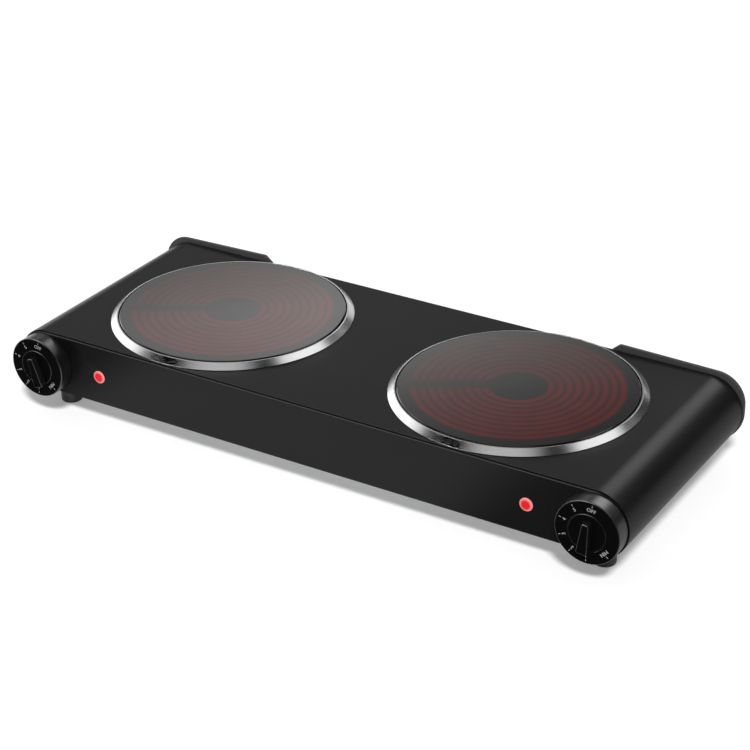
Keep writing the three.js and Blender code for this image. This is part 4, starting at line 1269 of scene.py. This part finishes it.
@dataclass
class Foot:
    """Moulded foot with rounded rims and a recess for its screw."""

    node: str
    radius: float = 8.6 * MM
    edge: float = 1.5 * MM
    recess_radius: float = 4.6 * MM
    recess_depth: float = 12.0 * MM
    recess_edge: float = 0.6 * MM
    screw_hole: float = 1.8 * MM
    facets: int = 72

    def build(self) -> None:
        """Makes the foot."""
        box = Box.of(self.node)
        top = box.high.z
        corners = [
            (self.radius, 0, self.edge), (self.radius, top, SMALL), (self.screw_hole, top),
            (self.screw_hole, self.recess_depth), (self.recess_radius, self.recess_depth, SOFT),
            (self.recess_radius, 0, self.recess_edge),
        ]
        origin = Vector((box.centre.x, box.centre.y, 0))
        bm = turned(rounded(corners, steps=6), origin, Facing.UP, self.facets)
        Piece(f"pad_{self.node}", "foot_rubber", (self.node,)).place(bm, FOOT_RUBBER.material())


@dataclass
class CordGland:
    """Bushing in the rear closure through which the supply cord passes."""

    origin: Vector
    bore: float = 5.2 * MM
    wall: float = 1.9 * MM
    flange_reach: float = 2.6 * MM
    flange: float = 2.4 * MM
    flange_edge: float = 0.9 * MM
    nose: float = 6.0 * MM
    gap: float = 0.3 * MM
    facets: int = 72

    def build(self) -> None:
        """Makes the bushing."""
        back = self.origin.y - Box.of("cord_gland").low.y
        neck = self.bore + self.wall
        rim = self.gap + self.flange
        corners = [
            (self.bore, -back, SMALL), (neck, -back, SMALL), (neck, self.gap),
            (neck + self.flange_reach, self.gap, SMALL), (neck + self.flange_reach, rim, self.flange_edge),
            (neck, rim, SOFT), (neck - self.wall / 3, rim + self.nose, SOFT),
            (self.bore, rim + self.nose, SOFT),
        ]
        bm = turned(rounded(corners), self.origin, Facing.BACK, self.facets)
        Piece("gland_bush", "moulded_black", ("cord_gland",)).place(bm, MOULDED_BLACK.material())


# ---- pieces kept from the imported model
@dataclass
class Interior:
    """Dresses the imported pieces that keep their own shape, by slots named like the finishes."""

    finishes: tuple[Finish, ...] = (
        ZINC_SHEET, PLATED_SCREW, BRASS, HEATING_ALLOY, INSULATION, CERAMIC, LEAD_SLEEVE, MOULDED_BLACK,
        GLOSS_BLACK, BODY_ENAMEL, PANEL_ENAMEL, SEAL_SILICONE, FOOT_RUBBER,
    )

    def dress(self) -> None:
        """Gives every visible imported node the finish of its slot."""
        known = {finish.name: finish for finish in self.finishes}
        made: dict[str, Material] = {}
        slots = {part["node"]: part["material_slot"] for part in frame["record"]["subparts"]}
        for name, node in frame["nodes"].items():
            slot = slots[name]
            if node.hide_render or slot not in known:
                continue
            if slot not in made:
                made[slot] = known[slot].material()
            node.data.materials.clear()
            node.data.materials.append(made[slot])
            log.info("dressed %s as %s", name, slot)


# ---- studio
@dataclass(frozen=True)
class Card:
    """A soft bright card in reflections, by its direction and the degrees that its core and rim take."""

    way: Triple
    core: float
    rim: float
    level: float

    def shine(self, nodes: Nodes, way: Socket, below: Value) -> Socket:
        """Returns the light from a direction with the card added to it."""
        dot = nodes.add("ShaderNodeVectorMath", operation="DOT_PRODUCT")
        nodes.feed(dot.inputs[0], way)
        nodes.feed(dot.inputs[1], Vector(self.way).normalized())
        near, far = math.cos(math.radians(self.core)), math.cos(math.radians(self.rim))
        return nodes.plus(below, nodes.spread(dot.outputs["Value"], far, near, 0, self.level, soft=True))


@dataclass
class Studio:
    """Pale floor, soft light and the camera."""

    eye: Triple = (761.597 * MM, -1197.608 * MM, 800.799 * MM)
    right: Triple = (0.849967, 0.526617, -0.015111)
    up: Triple = (-0.234373, 0.403668, 0.884376)
    lens: float = 99.974
    sun: Triple = (0.46, -0.71, 1.0)
    sun_width: float = 10.0
    sun_power: float = 3.1
    ambient: float = 0.3
    ceiling: float = 0.02
    strip: tuple[Span, ...] = (
        (0.0, 0.06), (0.36, 0.1), (0.42, 0.84), (0.44, 1.18), (0.458, 1.02), (0.478, 0.56), (0.505, 0.27),
        (0.53, 0.15), (0.58, 0.07), (0.66, 0.0),
    )
    strip_turn: tuple[float, ...] = (-0.5, -0.33, 1.44, 0.22)
    strip_end: tuple[float, ...] = (-0.6, -0.5, 0.55, 1)
    cards: tuple[Card, ...] = (
        Card((-0.92, 0.10, 0.37), 14.0, 30.0, 1.4), Card((-0.90, 0.43, 0.05), 8.0, 22.0, 1.3),
        Card((0.05, -0.37, 0.93), 6.0, 26.0, 0.75), Card((0.50, 0.38, 0.77), 14.0, 21.0, 1.45),
        Card((0.0, 0.79, 0.61), 6.0, 18.0, 3.2), Card((-0.16, 0.98, 0.06), 8.0, 18.0, 0.9),
        Card((-0.47, 0.28, 0.84), 5.0, 22.0, 1.8), Card((-0.47, -0.78, 0.41), 10.0, 22.0, 8.0),
    )
    floor_size: float = 6.0
    floor_tone: float = 0.82
    floor_glow: float = 0.22
    # Where mirrored rays find the floor dimmer, and by how much: painted shade in reflections.
    beside_across: tuple[float, ...] = (0.19, 0.27, 0, 0.7)
    beside_along: tuple[float, ...] = (-0.14, -0.06, 0, 1)
    before_middle: float = -0.06
    before_across: tuple[float, ...] = (0.14, 0.22, 0, 1)
    before_along: tuple[float, ...] = (-0.11, -0.09, 1, 0)
    mirror_shade_depth: float = 0.8

    def build(self) -> None:
        """Sets up the camera, the floor, the world and the sun."""
        bpy.context.scene.view_settings.view_transform = "Standard"
        self.camera()
        self.floor()
        self.world()
        self.key_light()

    def camera(self) -> None:
        """Places the camera."""
        data = bpy.data.cameras.new("camera")
        data.sensor_width = 36
        data.lens = self.lens
        data.clip_start = 0.01
        data.clip_end = 50
        camera = linked("camera", data)
        behind = Vector(self.right).cross(Vector(self.up)).normalized()
        turn = Matrix((self.right, self.up, behind)).transposed()
        camera.matrix_world = Matrix.Translation(self.eye) @ turn.to_4x4()
        bpy.context.scene.camera = camera

    def floor(self) -> None:
        """Lays the floor, which shows white to the camera and in reflections but keeps its shadow.

        Mirrored rays find it dimmer beside the right end and before both ends of the front: painted shade,
        which darkens what the rolled end and the panel's ends reflect.
        """
        bm = bmesh.new()
        bmesh.ops.create_grid(bm, x_segments=8, y_segments=8, size=self.floor_size)
        floor = settled("floor", bm)
        material = bpy.data.materials.new("floor_white")
        nodes = Nodes(material)
        place = nodes.place()
        camera_ray, mirrored_ray = nodes.rays()
        across, along, _ = nodes.split(place)
        beside = nodes.times(
            nodes.spread(across, *self.beside_across, soft=True), nodes.spread(along, *self.beside_along)
        )
        aside = nodes.size(nodes.minus(across, self.before_middle))
        before = nodes.times(
            nodes.spread(aside, *self.before_across, soft=True), nodes.spread(along, *self.before_along)
        )
        # The mask far is painted shade in reflections: mirrored rays find the floor darker beside the right
        # end and before both ends of the front.
        far = nodes.math("MAXIMUM", beside, before)
        unshaded_in_mirrors = nodes.minus(1, nodes.times(mirrored_ray, far, self.mirror_shade_depth))
        tone = nodes.spread(nodes.noise(place, 3.0, 3.0), *NOISE_SPAN, 0.99, 1.0)
        seen = nodes.math("MAXIMUM", camera_ray, nodes.times(mirrored_ray, unshaded_in_mirrors))
        nodes.set(
            Base_Color=nodes.blend(nodes.times(tone, unshaded_in_mirrors), BLACK, shade((self.floor_tone,) * 3)),
            Roughness=0.9,
            Specular_IOR_Level=0.0,
            Emission_Color=WHITE,
            Emission_Strength=nodes.times(seen, self.floor_glow),
        )
        floor.data.materials.append(material)

    def world(self) -> None:
        """Lights evenly from all round, with a white background and soft cards for reflections."""
        world = bpy.data.worlds.new("studio")
        bpy.context.scene.world = world
        nodes = Nodes(world, "BACKGROUND")
        way = nodes.add("ShaderNodeTexCoord").outputs["Generated"]
        x, _, z = nodes.split(way)
        across = nodes.times(nodes.spread(x, *self.strip_turn), nodes.spread(x, *self.strip_end))
        light = nodes.plus(self.ceiling, nodes.times(nodes.ramp(z, self.strip), across))
        for card in self.cards:
            light = card.shine(nodes, way, light)
        tone = nodes.add("ShaderNodeCombineColor", {"Red": light, "Green": light, "Blue": light})
        camera_ray, mirrored_ray = nodes.rays()
        other = nodes.blend(mirrored_ray, shade((self.ambient,) * 3), tone.outputs[0])
        nodes.set(Color=nodes.blend(camera_ray, other, WHITE), Strength=1.0)

    def key_light(self) -> None:
        """Adds a distant soft light, which mirrors don't show."""
        data = bpy.data.lights.new("key_light", "SUN")
        data.angle = math.radians(self.sun_width)
        data.energy = self.sun_power
        lamp = linked("key_light", data)
        turn = Vector(self.sun).to_track_quat("Z", "Y").to_matrix()
        lamp.matrix_world = Matrix.Translation(self.sun) @ turn.to_4x4()
        lamp.visible_glossy = False


def main() -> None:
    """Builds the hot plate's looks, piece by piece."""
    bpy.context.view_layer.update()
    layout = Layout.read()
    Studio().build()
    BodyShell(layout).build()
    for side in SIDES:
        Burner(side, layout.burner(side)).build()
        Control(side, layout.on_panel(f"dial_bezel_{side}")).build()
        PilotLamp(side, layout.on_panel(f"lamp_lens_{side}")).build()
        Foot(f"foot_front_{side}").build()
        Foot(f"foot_rear_{side}").build()
    CordGland(Vector((0, layout.rear.high.y, layout.dial_z))).build()
    Interior().dress()


if __name__ == "__main__":
    main()
